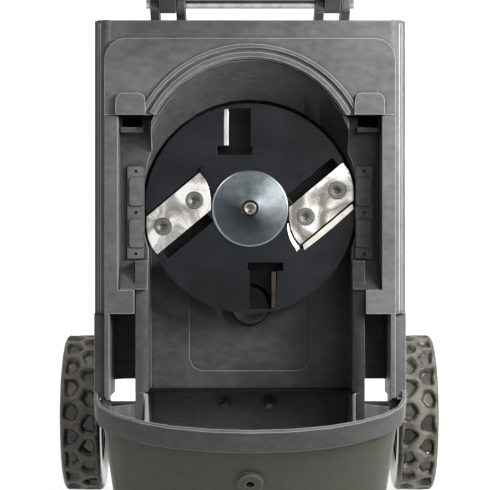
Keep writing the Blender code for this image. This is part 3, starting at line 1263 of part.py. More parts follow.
def build_wheels():
    half = WHEEL_WIDTH / 2
    for side, sign in SIDES:
        centre = (sign * (WHEEL_OUTER_X - half), WHEEL_Y, WHEEL_RADIUS)
        frame = frame_empty(f"wheel_axis_{side}", MACHINE, centre)
        outward = Matrix.Rotation(math.radians(90 * sign), 4, "Y")
        outer_half = [
            (RIM_RADIUS + SEAT_GAP, half - RIM_WALL),
            (RIM_RADIUS + TYRE_SHOULDER, half),
            (WHEEL_RADIUS - TYRE_SHOULDER, half),
            (WHEEL_RADIUS, CROWN_HALF),
        ]
        tyre_profile = outer_half + [(r, -z) for r, z in reversed(outer_half)]
        tyre = place(turned(tyre_profile, 2 * TREAD_CELLS, outward), f"tyre_{side}", TYRE_PLASTIC, frame)
        cells = bmesh.new()
        for i in range(TREAD_CELLS):
            for stagger, x in ((0, -CELL_OFFSET), (0.5, CELL_OFFSET)):
                cell = tread_cell(math.tau * (i + stagger) / TREAD_CELLS, x, CELL_LENGTH, CELL_WIDTH)
                cells.from_mesh(cell.data)
                bpy.data.objects.remove(cell)
        cut_from(tyre, from_bmesh(cells), f"cut_tread_{side}", frame)
        smooth(tyre, 30)
        face, inner_face = half - RIM_WALL, -half + RIM_WALL / 2
        rim_edge, bed = half - RIM_WALL * 1.5, RIM_RADIUS - RIM_WALL
        boss, root = RIM_BOSS_RADIUS - LAP, RIM_BOSS_RADIUS + LAP
        web_profile = [
            (AXLE_RADIUS + SEAT_GAP, face),
            (boss, face),
            (root, RIM_WEB / 2),
            (bed, RIM_WEB / 2),
            (bed, rim_edge),
            (RIM_RADIUS, rim_edge),
            (RIM_RADIUS, -rim_edge),
            (bed, -rim_edge),
            (bed, -RIM_WEB / 2),
            (root, -RIM_WEB / 2),
            (boss, inner_face),
            (AXLE_RADIUS + SEAT_GAP, inner_face),
        ]
        rim = place(turned(web_profile, MEDIUM_ROUND, outward), f"wheel_rim_{side}", GREY_PLASTIC, frame)
        windows = bmesh.new()
        window, middle = (bed - root) * 0.28, (bed + root) / 2
        window_outline = rounded_rectangle(window, window * 0.9, window * 0.45, middle, 0, 2)
        for i in range(RIM_WINDOWS):
            hole = outline_plate([window_outline], 4 * RIM_WEB)
            hole.data.transform(shift(z=-2 * RIM_WEB))
            hole.data.transform(SPIN_TO_X @ Matrix.Rotation(math.tau * i / RIM_WINDOWS, 4, "Z"))
            windows.from_mesh(hole.data)
            bpy.data.objects.remove(hole)
        cut_from(rim, from_bmesh(windows), f"cut_rim_windows_{side}", frame)
        smooth(rim)
        seat = face + SEAT_GAP
        cap_profile = [
            (0, seat + WHEEL_CAP_HEIGHT),
            (WHEEL_CAP_RADIUS * 0.7, seat + WHEEL_CAP_HEIGHT * 0.83),
            (WHEEL_CAP_RADIUS, seat + WHEEL_CAP_HEIGHT * 0.33),
            (WHEEL_CAP_RADIUS, seat),
            (0, seat),
        ]
        cap = turned(cap_profile, SMALL_ROUND, outward)
        place(smooth(cap), f"wheel_cap_{side}", GREY_PLASTIC, frame)
        wheel_side = WHEEL_OUTER_X - half + inner_face - SEAT_GAP
        body_side = axle_wall() - LOWER_WALL / 2 + AXLE_BOSS_HALF + SEAT_GAP
        spacer_profile = [
            (AXLE_RADIUS + SEAT_GAP, wheel_side),
            (SPACER_RADIUS, wheel_side),
            (SPACER_RADIUS, body_side),
            (AXLE_RADIUS + SEAT_GAP, body_side),
        ]
        spacer = turned(spacer_profile, TINY_ROUND, outward)
        place(smooth(spacer), f"axle_spacer_{side}", BLACK_PLASTIC, None, (0, WHEEL_Y, WHEEL_RADIUS))
    reach = WHEEL_OUTER_X - RIM_WALL - SEAT_GAP
    axle = rod(AXLE_RADIUS, -reach, reach, SMALL_ROUND)
    axle.data.transform(SPIN_TO_X)
    place(smooth(axle), "axle", BRIGHT_STEEL, None, (0, WHEEL_Y, WHEEL_RADIUS))


def superellipse(half_x, half_y, power, cy, z, count=MOUTH_POINTS):
    points = []
    for i in range(count):
        a = math.tau * i / count
        c, s = math.cos(a), math.sin(a)
        x = half_x * math.copysign(abs(c) ** (2 / power), c)
        y = cy + half_y * math.copysign(abs(s) ** (2 / power), s)
        points.append((x, y, z))
    return points


def loft(sections):
    """A closed skin through rings with the same number of points."""
    skin = bmesh.new()
    rings = [[skin.verts.new(p) for p in ring] for ring in sections]
    for lower, upper in zip(rings, rings[1:]):
        for i in range(len(lower)):
            j = (i + 1) % len(lower)
            skin.faces.new((lower[i], lower[j], upper[j], upper[i]))
    skin.faces.new(list(reversed(rings[0])))
    skin.faces.new(rings[-1])
    return from_bmesh(skin)


def funnel(shrink=0.0, extra=0.0):
    """The hopper's upright throat opening out to its mouth, in the world's frame with the hopper closed."""
    squash = math.cos(DISC_TILT)
    throat_y = THROAT_RADIUS * squash
    throat_z = DISC_HEIGHT + FLANGE_TOP / squash
    start = throat_z - 1.25 * THROAT_RADIUS - extra
    mouth_z = throat_z + HOPPER_HEIGHT
    rings = [
        (THROAT_RADIUS, throat_y, 2.0, 0, start),
        (THROAT_RADIUS, throat_y, 2.0, 0, throat_z + HOPPER_HEIGHT * 0.06),
        (THROAT_RADIUS * 1.1, throat_y * 1.13, 2.4, MOUTH_Y * 0.08, throat_z + HOPPER_HEIGHT * 0.4),
        (MOUTH_HALF_X, MOUTH_HALF_Y, MOUTH_POWER, MOUTH_Y, mouth_z),
        (MOUTH_HALF_X, MOUTH_HALF_Y, MOUTH_POWER, MOUTH_Y, mouth_z + extra + LAP),
    ]
    return [superellipse(a - shrink, b - shrink, n, cy, z) for a, b, n, cy, z in rings]


def hopper_base_outline(inset=0.0):
    """The flange that the hopper stands on, seen along the disc's axis."""
    low, high = BODY_BOTTOM_V - 2 * LAP + inset, PANEL_TOP_V - inset
    return arched_outline(FLANGE_OUTER - LAP - inset, low, high, PANEL_CORNER - inset)


def build_hopper():
    rest = FLANGE_TOP + TAB_HEIGHT + SEAT_GAP
    base = outline_plate([hopper_base_outline()], HOPPER_FLANGE)
    base.data.transform(shift(z=rest))
    hopper = place(base, "hopper", BLACK_PLASTIC, HOPPER_TILTED)
    # A rim under the flange reaches down to the body, past the raised tabs
    edges = [hopper_base_outline(LAP / 2), hopper_base_outline(LAP / 2 + PLATE)]
    rim = outline_plate(edges, TAB_HEIGHT + LAP)
    rim.data.transform(shift(z=FLANGE_TOP + SEAT_GAP))
    add_to(hopper, loft(funnel()), "add_funnel", HOPPER_UPRIGHT)
    rim_z = funnel()[-1][0][2]
    roll_x, roll_y = MOUTH_HALF_X + MOUTH_ROLL, MOUTH_HALF_Y + MOUTH_ROLL
    roll_levels = (rim_z - 1.75 * MOUTH_ROLL, rim_z + LAP / 2)
    mouth = [superellipse(roll_x, roll_y, MOUTH_POWER, MOUTH_Y, z) for z in roll_levels]
    add_to(hopper, loft(mouth), "add_mouth_roll", HOPPER_UPRIGHT)
    cut_from(hopper, loft(funnel(HOPPER_WALL, 4 * HOPPER_WALL)), "cut_funnel", HOPPER_UPRIGHT)
    wide, deep = 2 * BODY_HALF_WIDTH, 4 * THROAT_RADIUS
    below = box(-wide, wide, -deep, deep, rest - deep, rest + HAIR)
    cut_from(hopper, below, "cut_below_flange", HOPPER_TILTED)
    add_to(hopper, rim, "add_flange_rim", HOPPER_TILTED)
    arm_start = PANEL_TOP_V - 4 * HOPPER_FLANGE
    arm_outline = [(arm_start, rest + LAP), (HINGE_V, HINGE_W - EYE_RADIUS)]
    arm_outline += arc(HINGE_V, HINGE_W, EYE_RADIUS, EYE_RADIUS, -75, 90, 7)
    arm_outline.append((arm_start, rest + EYE_RADIUS))
    arm_half = LUG_STEP - LUG_THICKNESS / 2 - SEAT_GAP
    peg_top_v = PEG_LOW_V + PEG_THICKNESS
    for side, sign in SIDES:
        arm = across(arm_outline, sign * (LUG_X - arm_half), sign * (LUG_X + arm_half))
        add_to(hopper, arm, f"add_arm_{side}", HOPPER_TILTED)
        middle = sign * TAB_CENTRE_X
        x0, x1 = middle - PEG_HALF_WIDTH, middle + PEG_HALF_WIDTH
        peg = box(x0, x1, PEG_LOW_V, peg_top_v, POCKET_FLOOR - PEG_REACH, rest + LAP)
        add_to(hopper, peg, f"add_peg_{side}", HOPPER_TILTED)
    rim_y, rim_top = world_point(BODY_BOTTOM_V, FLANGE_TOP)
    lid_half, lid_bow = BODY_HALF_WIDTH + LID_PROUD, RIM_BOW + LID_PROUD
    lid_low = rim_top + LID_LIFT
    front = arc(0, rim_y, lid_half, lid_bow, 180, 360, BOW_POINTS)
    lid = outline_plate([front], HOPPER_FLANGE)
    add_to(hopper, lid, "add_front_lid", HOPPER_UPRIGHT, (0, 0, lid_low))
    skirt = rim_band(lid_half - 3 * HAIR, lid_bow - 3 * HAIR, SKIRT_WALL, rim_y, rim_y + LAP, SKIRT_HEIGHT)
    skirt_low = lid_low - SKIRT_HEIGHT + HOPPER_FLANGE / 2
    add_to(hopper, skirt, "add_front_skirt", HOPPER_UPRIGHT, (0, 0, skirt_low))
    lock_y, lock_z = lock_place()
    tongue_back = lock_y - SEAT_GAP
    tongue_front, half = tongue_back - TONGUE_THICKNESS, TONGUE_HALF_WIDTH
    tongue = box(-half, half, tongue_front, tongue_back, lock_z - half, lid_low + HOPPER_FLANGE / 2)
    add_to(hopper, tongue, "add_lock_tongue", HOPPER_UPRIGHT)
    reach = 4 * TONGUE_THICKNESS
    tongue_hole = rod(LOCK_BOLT_RADIUS + SEAT_GAP, -reach, reach, TINY_ROUND)
    tongue_hole.data.transform(SPIN_TO_FRONT)
    cut_from(hopper, tongue_hole, "cut_tongue_hole", HOPPER_UPRIGHT, (0, lock_y, lock_z))
    arm_bore = rod(HINGE_PIN_RADIUS + SEAT_GAP, -BODY_HALF_WIDTH, BODY_HALF_WIDTH, TINY_ROUND)
    arm_bore.data.transform(SPIN_TO_X)
    cut_from(hopper, arm_bore, "cut_arm_bore", HOPPER_FRAME)
    smooth(hopper)


def build_lock():
    """The hopper's lock: a lobed knob on a bolt, screwed out, and the switch that the bolt closes."""
    lock_y, lock_z = lock_place()
    knob_back = lock_y - SEAT_GAP - TONGUE_THICKNESS - SEAT_GAP - LOCK_TRAVEL
    frame = frame_empty("lock_axis", HOPPER_UPRIGHT, (0, knob_back, lock_z), ALONG_V)
    bolt_reach = LOCK_TRAVEL + TONGUE_THICKNESS + 2 * SEAT_GAP
    bolt = rod(LOCK_BOLT_RADIUS, -bolt_reach, KNOB_GRIP, TINY_ROUND)
    place(smooth(bolt), "lock_bolt", BRIGHT_STEEL, frame)
    lobes = []
    for i in range(LOBE_POINTS):
        a = math.tau * i / LOBE_POINTS
        radius = KNOB_RADIUS + KNOB_LOBE * math.cos(KNOB_LOBES * a)
        lobes.append((radius * math.cos(a), radius * math.sin(a)))
    knob = place(outline_plate([lobes], KNOB_DEPTH), "lock_knob", BLACK_PLASTIC, frame)
    socket = rod(LOCK_BOLT_RADIUS + SEAT_GAP, -KNOB_DEPTH, KNOB_GRIP + SEAT_GAP, TINY_ROUND)
    cut_from(knob, socket, "cut_knob_bore", frame)
    smooth(knob)
    behind = lock_y + LOCK_BOSS_LENGTH + SEAT_GAP
    half, rise = SWITCH_CASE_HALF_WIDTH, SWITCH_CASE_HALF_HEIGHT
    case = box(-half, half, behind, behind + SWITCH_CASE_DEPTH, lock_z - rise, lock_z + rise)
    switch = place(case, "safety_switch", BLACK_PLASTIC)
    plunger = rod(PLUNGER_RADIUS, -LAP, LOCK_BOSS_LENGTH - LOCK_TRAVEL - PLUNGER_PLAY, TINY_ROUND)
    plunger.data.transform(SPIN_TO_FRONT)
    add_to(switch, plunger, "add_switch_plunger", None, (0, behind, lock_z))
    smooth(switch)


def build_handle():
    """A bar bent twice that stands behind the cover, for tipping the machine onto its wheels."""
    half, foot = COVER_HALF_X + HANDLE_TO_COVER, BODY_BACK - SEAT_GAP
    inner, low = half - HANDLE_BEND, COVER_BACK - HANDLE_REACH + HANDLE_BEND
    bends = arc(-inner, low, HANDLE_BEND, HANDLE_BEND, 180, 270, 6)
    bends += arc(inner, low, HANDLE_BEND, HANDLE_BEND, 270, 360, 6)
    points = [(x, HANDLE_V, w) for x, w in [(-half, foot)] + bends + [(half, foot)]]
    place(smooth(tube(points, HANDLE_RADIUS, 2)), "transport_handle", BLACK_PLASTIC, DISC_FRAME)


def build_switch_box():
    top = COVER_HALF_X + SWITCH_HEIGHT
    half = SWITCH_HALF_WIDTH
    block = box(-half, half, COVER_HALF_X * 0.85, top, SWITCH_BACK, SWITCH_FRONT)
    body = place(block, "switch_box", BLACK_PLASTIC, DISC_FRAME)
    seat = rod(COVER_HALF_X + SEAT_GAP, 2 * COVER_BACK, 0, 3 * MEDIUM_ROUND)
    cut_from(body, seat, "cut_switch_seat", DISC_FRAME)
    buttons = (
        ("on_button", GREEN_PLASTIC, -BUTTON_SPACING / 2, BUTTON_W, BUTTON_RADIUS),
        ("off_button", RED_PLASTIC, BUTTON_SPACING / 2, BUTTON_W, BUTTON_RADIUS),
        ("reset_button", BLACK_PLASTIC, 0.0, RESET_W, RESET_RADIUS),
    )
    face_up = SPIN_TO_FRONT.inverted()
    for name, finish, x, w, radius in buttons:
        well = rod(radius + BUTTON_GAP, top - BUTTON_WELL_DEPTH, top + BUTTON_WELL_DEPTH, SMALL_ROUND)
        well.data.transform(face_up)
        cut_from(body, well, f"cut_{name}", DISC_FRAME, (x, 0, w))
        button = rod(radius, top + BUTTON_PROUD - BUTTON_LENGTH, top + BUTTON_PROUD, SMALL_ROUND)
        button.data.transform(face_up)
        place(smooth(button), name, finish, DISC_FRAME, (x, 0, w))
    half, low, high = INLET_HALF_WIDTH, INLET_LOW_V, INLET_TOP_V
    floor = SWITCH_BACK + INLET_DEPTH
    well = box(-half, half, low, high, SWITCH_BACK - LAP, floor)
    cut_from(body, well, "cut_inlet_well", DISC_FRAME)
    gap = SEAT_GAP
    base = box(-half + gap, half - gap, low + gap, high - gap, floor - INLET_BASE, floor - gap)
    inlet = place(base, "power_inlet", GREY_PLASTIC, DISC_FRAME)
    middle, pin = (low + high) / 2, INLET_PIN_HALF
    tall, tip, root = 2.5 * pin, SWITCH_BACK + 2 * pin, floor - INLET_BASE + LAP
    for number in range(3):
        blade = box(-pin, pin, middle - tall, middle + tall, tip, root)
        x = (number - 1) * INLET_PIN_SPACING
        add_to(inlet, blade, f"add_inlet_pin_{number}", DISC_FRAME, (x, 0, 0))
    smooth(body)


build_disc()
build_vanes()
build_knives()
build_hub()
build_motor()
build_motor_cover()
build_chamber()
build_upper_body()
build_hinge_pin()
build_top_panel()
build_side_plates()
build_lower_body()
build_discharge_shaft()
build_wheels()
build_hopper()
build_lock()
build_handle()
build_switch_box()
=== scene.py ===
# %% [markdown]
# # An electric garden shredder, opened for its knives to be changed
#
# The machine is a black moulded body on two wheels. Its cutting disc is tilted back, and the
# camera looks straight down the disc's shaft, so the disc is a full circle in the picture. The
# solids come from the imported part: this script gives them rounded edges, finishes, a camera
# and light.

# %% Load the fixed frame
import json
import math

import bmesh
import bpy
from mathutils import Matrix, Vector, noise


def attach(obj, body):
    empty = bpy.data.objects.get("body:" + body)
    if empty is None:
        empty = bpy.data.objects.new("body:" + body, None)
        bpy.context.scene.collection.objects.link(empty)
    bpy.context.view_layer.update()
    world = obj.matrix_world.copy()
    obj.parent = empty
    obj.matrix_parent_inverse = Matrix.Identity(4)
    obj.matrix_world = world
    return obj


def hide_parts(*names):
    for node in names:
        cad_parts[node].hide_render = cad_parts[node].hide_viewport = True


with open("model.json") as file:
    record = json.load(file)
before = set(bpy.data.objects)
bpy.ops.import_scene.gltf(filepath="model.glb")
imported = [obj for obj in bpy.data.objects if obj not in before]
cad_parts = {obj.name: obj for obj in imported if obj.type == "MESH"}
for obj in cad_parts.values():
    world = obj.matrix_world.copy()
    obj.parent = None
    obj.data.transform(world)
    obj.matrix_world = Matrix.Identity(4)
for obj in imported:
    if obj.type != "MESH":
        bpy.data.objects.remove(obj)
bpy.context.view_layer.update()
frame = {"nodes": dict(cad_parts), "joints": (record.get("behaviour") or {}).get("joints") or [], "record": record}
BODIES = frame["record"]["behaviour"]["bodies"]
BODY_OF = {node: body for body, nodes in BODIES.items() for node in nodes}
JOINT_OF = {joint["name"]: joint for joint in frame["joints"]}
print("nodes:", len(frame["nodes"]))

# %% [markdown]
# The disc's own frame is used throughout: x to the right, v up the slope and w out of the
# disc's face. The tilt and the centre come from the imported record's joint, so nothing here has
# to be measured twice.

# %% The disc's frame
CENTRE = Vector(JOINT_OF["rotor_spin"]["pos_m"])
OUT = Vector(JOINT_OF["rotor_spin"]["axis"]).normalized()
RIGHT = Vector((1, 0, 0))
UP_SLOPE = OUT.cross(RIGHT)
TILT = math.acos(OUT.z)
DISC_FRAME = Matrix((
    (RIGHT.x, UP_SLOPE.x, OUT.x, CENTRE.x),
    (RIGHT.y, UP_SLOPE.y, OUT.y, CENTRE.y),
    (RIGHT.z, UP_SLOPE.z, OUT.z, CENTRE.z),
    (0, 0, 0, 1),
))


def on_disc(x, v, w):
    """A point given in the disc's frame, in the world."""
    return DISC_FRAME @ Vector((x, v, w))


print("disc centre", tuple(round(c, 4) for c in CENTRE), "tilt", round(math.degrees(TILT), 1))

# %% [markdown]
# The photographer stood in front and above, looking down the shaft from about 1.7 m with a
# long lens, which keeps the circles round and the sides nearly parallel. Its focal length is
# worked out from the distance and from how wide the view is at the disc.

# %% Camera
VIEW_DISTANCE = 1.69
VIEW_WIDTH = 0.462
SENSOR = 36.0
AIM_X, AIM_V = -0.0047, -0.0344

camera_data = bpy.data.cameras.new("camera")
camera_data.sensor_width = SENSOR
camera_data.lens = SENSOR * VIEW_DISTANCE / VIEW_WIDTH
camera = bpy.data.objects.new("camera", camera_data)
bpy.context.scene.collection.objects.link(camera)
camera.matrix_world = DISC_FRAME @ Matrix.Translation((AIM_X, AIM_V, VIEW_DISTANCE))
bpy.context.scene.camera = camera
bpy.context.scene.view_settings.view_transform = "Standard"
print("lens", round(camera_data.lens, 1), "mm")

# %% [markdown]
# Colours are written as sRGB hex values, the way a paint chart or a colour picker gives them.
# Blender shades in linear light, so one function converts them. Another adds a node with its
# settings and links. A colour ramp has no sockets for its stops, so that function takes them
# too. A new ramp already has two.


# %% Colour and node helpers
def linear(hex_colour):
    """An sRGB hex colour as linear RGBA."""
    shares = [int(hex_colour[i:i + 2], 16) / 255 for i in (1, 3, 5)]
    return (*(c / 12.92 if c <= 0.04045 else ((c + 0.055) / 1.055) ** 2.4 for c in shares), 1.0)


def feed(tree, node, links):
    """Links other nodes' outputs to a node's sockets, which are given by name or number."""
    for socket, source in links.items():
        tree.links.new(source, node.inputs[socket])


def add_node(tree, kind, values=None, links=None, stops=(), **settings):
    """Adds a node: settings are its properties, values its inputs' numbers, links its feeds."""
    node = tree.nodes.new(kind)
    for name, value in settings.items():
        setattr(node, name, value)
    for socket, value in (values or {}).items():
        node.inputs[socket].default_value = value
    for _ in stops[2:]:
        node.color_ramp.elements.new(1.0)
    for i, (position, colour) in enumerate(stops):
        node.color_ramp.elements[i].position = position
        node.color_ramp.elements[i].color = linear(colour)
    feed(tree, node, links or {})
    return node


print("body black", [round(c, 3) for c in linear("#3a3b3b")[:3]])

# %% [markdown]
# Every finish is a Principled material. What makes it look used is a colour ramp, which turns
# a soft pattern into two or three tones of the same stuff.


# %% A new material
def new_material(name, colour, roughness, metallic=0.0, specular=0.5):
    """A Principled material: itself, its tree and its shader node."""
    material = bpy.data.materials.new(name)
    material.use_nodes = True
    shader = material.node_tree.nodes["Principled BSDF"]
    shader.inputs["Base Color"].default_value = linear(colour)
    shader.inputs["Roughness"].default_value = roughness
    shader.inputs["Metallic"].default_value = metallic
    shader.inputs["Specular IOR Level"].default_value = specular
    return material, material.node_tree, shader


print("materials so far:", len(bpy.data.materials))

# %% [markdown]
# The body is injection moulded polypropylene, filled black, and this is a used machine. Dust
# lies on it in soft clouds a few centimetres across, and in finer streaks that lie level on
# the upright walls and widen to blotches on the slope. Two noises in the object's own
# coordinates make them. Scales are cells per metre: 16 is clouds of 60 mm, and 90 is streaks
# of 11 mm. The streaks' noise is squeezed in one direction by a Mapping node.

# %% Dust
CLOUDS, STREAKS = 16.0, 90.0
STREAK_SQUEEZE = 0.12
STREAK_SHARE = 0.35
DUST_STARTS, DUST_FULL = 0.4, 0.62


def dust_film(tree, place, clean, dusty):
    """The plastic's colour under its dust, and the clouds that the dust lies in."""
    clouds = add_node(
        tree, "ShaderNodeTexNoise", {"Scale": CLOUDS, "Detail": 6.0, "Roughness": 0.6},
        {"Vector": place}).outputs["Fac"]
    squeezed = add_node(
        tree, "ShaderNodeMapping", {"Rotation": (-TILT, 0, 0), "Scale": (1, STREAK_SQUEEZE, 1)},
        {"Vector": place}, vector_type="TEXTURE").outputs["Vector"]
    streaks = add_node(
        tree, "ShaderNodeTexNoise", {"Scale": STREAKS, "Detail": 3.0},
        {"Vector": squeezed}).outputs["Fac"]
    dust = add_node(
        tree, "ShaderNodeMix", {"Factor": STREAK_SHARE},
        {"A": clouds, "B": streaks}).outputs["Result"]
    overlay = add_node(
        tree, "ShaderNodeValToRGB", links={"Fac": dust},
        stops=[(DUST_STARTS, clean), (DUST_FULL, dusty)]).outputs["Color"]
    return overlay, clouds


print("dust clouds of", round(1000 / CLOUDS), "mm, streaks of", round(1000 / STREAKS), "mm")

# %% [markdown]
# The rounded edges are painted a different tone from the faces. On most plastics the tone is paler, partly as wear
# from hands and waste and partly as a painted highlight. On the wear plates it is darker, as painted shade in the
# grooves round their pads. The Bevel node finds the edges: it averages the normal over a small radius, and that
# differs from the face's own normal only near an edge. Painted shade darkens the corners and seams, which the
# Ambient Occlusion node finds: it says how open each point is to its surroundings within a few millimetres.

# %% Painted edges and painted corner shade
EDGE_RADIUS = 0.0012
EDGE_STARTS, EDGE_FULL = 0.995, 0.9
CORNER = 0.004
PROBES = 4


# Painted edges: a mask for the edge tone, which is partly wear and partly a painted highlight, and painted groove
# shade on the wear plates.
def painted_edge_mask(tree):
    """1 on an edge and 0 away from it."""
    soft = add_node(
        tree, "ShaderNodeBevel", {"Radius": EDGE_RADIUS}, samples=PROBES).outputs["Normal"]
    hard = add_node(tree, "ShaderNodeNewGeometry").outputs["Normal"]
    alike = add_node(
        tree, "ShaderNodeVectorMath", links={0: soft, 1: hard},
        operation="DOT_PRODUCT").outputs["Value"]
    return add_node(
        tree, "ShaderNodeMapRange", {"From Min": EDGE_STARTS, "From Max": EDGE_FULL},
        {"Value": alike}).outputs["Result"]


# Painted shade: darkens the colour in corners and seams.
def painted_corner_shade(tree, shut, clear, darkest):
    """How much of the colour is left: 1 in the open, darkest where a corner is shut."""
    openness = add_node(
        tree, "ShaderNodeAmbientOcclusion", {"Distance": CORNER}, samples=PROBES).outputs["AO"]
    return add_node(
        tree, "ShaderNodeMapRange", {"From Min": shut, "From Max": clear, "To Min": darkest},
        {"Value": openness}).outputs["Result"]


print("edges rubbed over", EDGE_RADIUS * 1000, "mm, dirt within", CORNER * 1000, "mm of a corner")

# %% [markdown]
# Painted shade: one factor darkens whatever is nearer to the shaft than 88 mm, just inside the disc's rim, where
# the pan lies in the disc's shade. Painted light and shade: a second factor follows x and makes the left side of
# the chamber lighter than the right, whose half of the trough lies in the shade of the right wall.

# %% Painted shade under the disc and painted light across the chamber
UNDER_DISC_SHADE_FULL, UNDER_DISC_SHADE_ENDS = 0.088, 0.096
SIDE_LIGHT_REACH = 0.11


# Painted shade under the disc.
def painted_shade_under_disc(tree, place, under_disc_shade):
    """How much of the colour is left under the disc, where under_disc_shade is the painted shade's share."""
    from_centre = add_node(
        tree, "ShaderNodeVectorMath", {1: CENTRE}, {0: place},
        operation="SUBTRACT").outputs["Vector"]
    beside = add_node(
        tree, "ShaderNodeVectorMath", {1: OUT}, {0: from_centre},
        operation="CROSS_PRODUCT").outputs["Vector"]
    off_axis = add_node(
        tree, "ShaderNodeVectorMath", links={0: beside}, operation="LENGTH").outputs["Value"]
    return add_node(
        tree, "ShaderNodeMapRange",
        {"From Min": UNDER_DISC_SHADE_FULL, "From Max": UNDER_DISC_SHADE_ENDS, "To Min": 1 - under_disc_shade},
        {"Value": off_axis}).outputs["Result"]


# Painted light and shade: lighter at the left of the chamber and darker at the right, where the right wall shades
# the trough.
def painted_side_light(tree, place, side_light):
    """A factor over 1 at the left of the chamber and under 1 at the right."""
    across = add_node(tree, "ShaderNodeSeparateXYZ", links={0: place}).outputs["X"]
    return add_node(
        tree, "ShaderNodeMapRange",
        {"From Min": SIDE_LIGHT_REACH, "From Max": -SIDE_LIGHT_REACH, "To Min": 1 - side_light,
         "To Max": 1 + 2 * side_light},
        {"Value": across}).outputs["Result"]


print("sap within", UNDER_DISC_SHADE_FULL * 1000, "mm of the shaft")

# %% [markdown]
# The mould was spark eroded, which leaves a fine dull grain of about 0.3 mm. Grain that fine
# can't show at nearly 1 mm per pixel, so it is drawn at 1.2 mm. The plastic is also duller
# where dust lies, so the clouds steer the roughness. Its rough skin scatters what a smooth one
# would reflect, hence the low specular level. The polyamide of the wear plates, the rubber of
# the feet and the ABS of the buttons are moulded too, so they differ only in their colours.

# %% Moulded polypropylene
GRAIN_MM = 1.2
GRAIN_DEPTH, GRAIN_STRENGTH = 0.0003, 0.12
PLASTIC_SPECULAR = 0.15
LESS_DULL, MORE_DULL = 0.06, 0.12
NOISE_LOW, NOISE_HIGH = 0.35, 0.7


def polypropylene(name, clean, dusty, edge_tone, roughness, under_disc_shade=0.0, side_light=0.0):
    """A plastic from a spark eroded mould, with dust, and painted edges, shade and light."""
    material, tree, shader = new_material(name, clean, roughness, specular=PLASTIC_SPECULAR)
    place = add_node(tree, "ShaderNodeTexCoord").outputs["Object"]
    overlay, clouds = dust_film(tree, place, clean, dusty)
    # The painted edge tone goes over the dust.
    with_painted_edges = add_node(
        tree, "ShaderNodeMix", {"B": linear(edge_tone)}, {"Factor": painted_edge_mask(tree), "A": overlay},
        data_type="RGBA").outputs["Result"]
    corner_shade = painted_corner_shade(tree, shut=0.3, clear=0.93, darkest=0.2)
    dark = add_node(
        tree, "ShaderNodeMath", links={0: corner_shade, 1: painted_shade_under_disc(tree, place, under_disc_shade)},
        operation="MULTIPLY").outputs["Value"]
    tone = add_node(
        tree, "ShaderNodeMath", links={0: dark, 1: painted_side_light(tree, place, side_light)},
        operation="MULTIPLY").outputs["Value"]
    colour = add_node(
        tree, "ShaderNodeVectorMath", links={0: with_painted_edges, "Scale": tone},
        operation="SCALE").outputs["Vector"]
    dull = add_node(
        tree, "ShaderNodeMapRange",
        {"From Min": NOISE_LOW, "From Max": NOISE_HIGH, "To Min": roughness - LESS_DULL,
         "To Max": roughness + MORE_DULL},
        {"Value": clouds}).outputs["Result"]
    grain = add_node(
        tree, "ShaderNodeTexNoise", {"Scale": 1000 / GRAIN_MM, "Detail": 2.0},
        {"Vector": place}).outputs["Fac"]
    bump = add_node(
        tree, "ShaderNodeBump", {"Strength": GRAIN_STRENGTH, "Distance": GRAIN_DEPTH},
        {"Height": grain}).outputs["Normal"]
    feed(tree, shader, {"Base Color": colour, "Roughness": dull, "Normal": bump})
    return material


BODY_BLACK = polypropylene("moulded_black_polypropylene", "#585959", "#6f706f", "#bdbebd", 0.45)
# This plastic carries painted shade under the disc, and painted light and shade across the chamber.
CHAMBER_BLACK = polypropylene(
    "worn_and_shaded_black_polypropylene", "#333435", "#464746", "#868788", 0.42, under_disc_shade=0.85, side_light=0.38)
# The wear plates' edges are painted dark, as painted shade in the grooves round their pads.
PLATE_BLACK = polypropylene(
    "wear_plate_polyamide", "#434446", "#5b5c5d", "#26272a", 0.4, side_light=0.3)
# Painted light: the discharge shaft lies in shade, so its dusty black plastic is painted a much paler grey than
# the body's.
SHAFT_PAINTED_LIGHT = polypropylene(
    "painted_light_dusty_polypropylene", "#6f6f6d", "#8d8c89", "#9b9a96", 0.5, side_light=0.3)
LOWER_BLACK = polypropylene("weathered_black_polypropylene", "#5a5952", "#66655c", "#b5b1a4", 0.5)
COVER_BLACK = polypropylene("deep_black_polypropylene", "#2b2c2c", "#3a3b3b", "#6a6b6b", 0.45)
RUBBER = polypropylene("soft_rubber", "#1c1c1c", "#242424", "#303030", 0.7)
GREEN = polypropylene("green_abs", "#1d6b34", "#1a5f2f", "#2b8446", 0.35)
RED = polypropylene("red_abs", "#a01a18", "#8f1816", "#bb3330", 0.35)
print("plastics:", len(bpy.data.materials))

# %% [markdown]
# The disc is cut from steel plate and coated with a semi-gloss black paint. Chips polish it in
# patches about 40 mm across, so one noise steers both its tint and how dull it is.

# %% Painted disc steel
POLISHED_PATCHES = 26.0

DISC_PAINT, tree, shader = new_material("semi_gloss_painted_steel", "#1a1d20", 0.3, specular=0.2)
place = add_node(tree, "ShaderNodeTexCoord").outputs["Object"]
patches = add_node(
    tree, "ShaderNodeTexNoise", {"Scale": POLISHED_PATCHES, "Detail": 5.0},
    {"Vector": place}).outputs["Fac"]
tint = add_node(
    tree, "ShaderNodeValToRGB", links={"Fac": patches},
    stops=[(NOISE_LOW, "#0d0f12"), (NOISE_HIGH, "#181b1f")]).outputs["Color"]
dull = add_node(
    tree, "ShaderNodeMapRange",
    {"From Min": NOISE_LOW, "From Max": NOISE_HIGH, "To Min": 0.24, "To Max": 0.38},
    {"Value": patches}).outputs["Result"]
feed(tree, shader, {"Base Color": tint, "Roughness": dull})
print("paint:", DISC_PAINT.name)

# %% [markdown]
# The hub cap is turned from steel bar, and the screws are blackened or zinc plated. All of them have stains about
# 8 mm across, fine scratches and painted shade in their sockets and corners, so one function makes them, and the
# motor's aluminium and copper, each with its own colours and roughness. A metal keeps the default IOR.

# %% Bare metals
STAINS = 120.0
SCRATCH_MM = 0.8
SCRATCH_DEPTH, SCRATCH_STRENGTH = 0.0002, 0.15


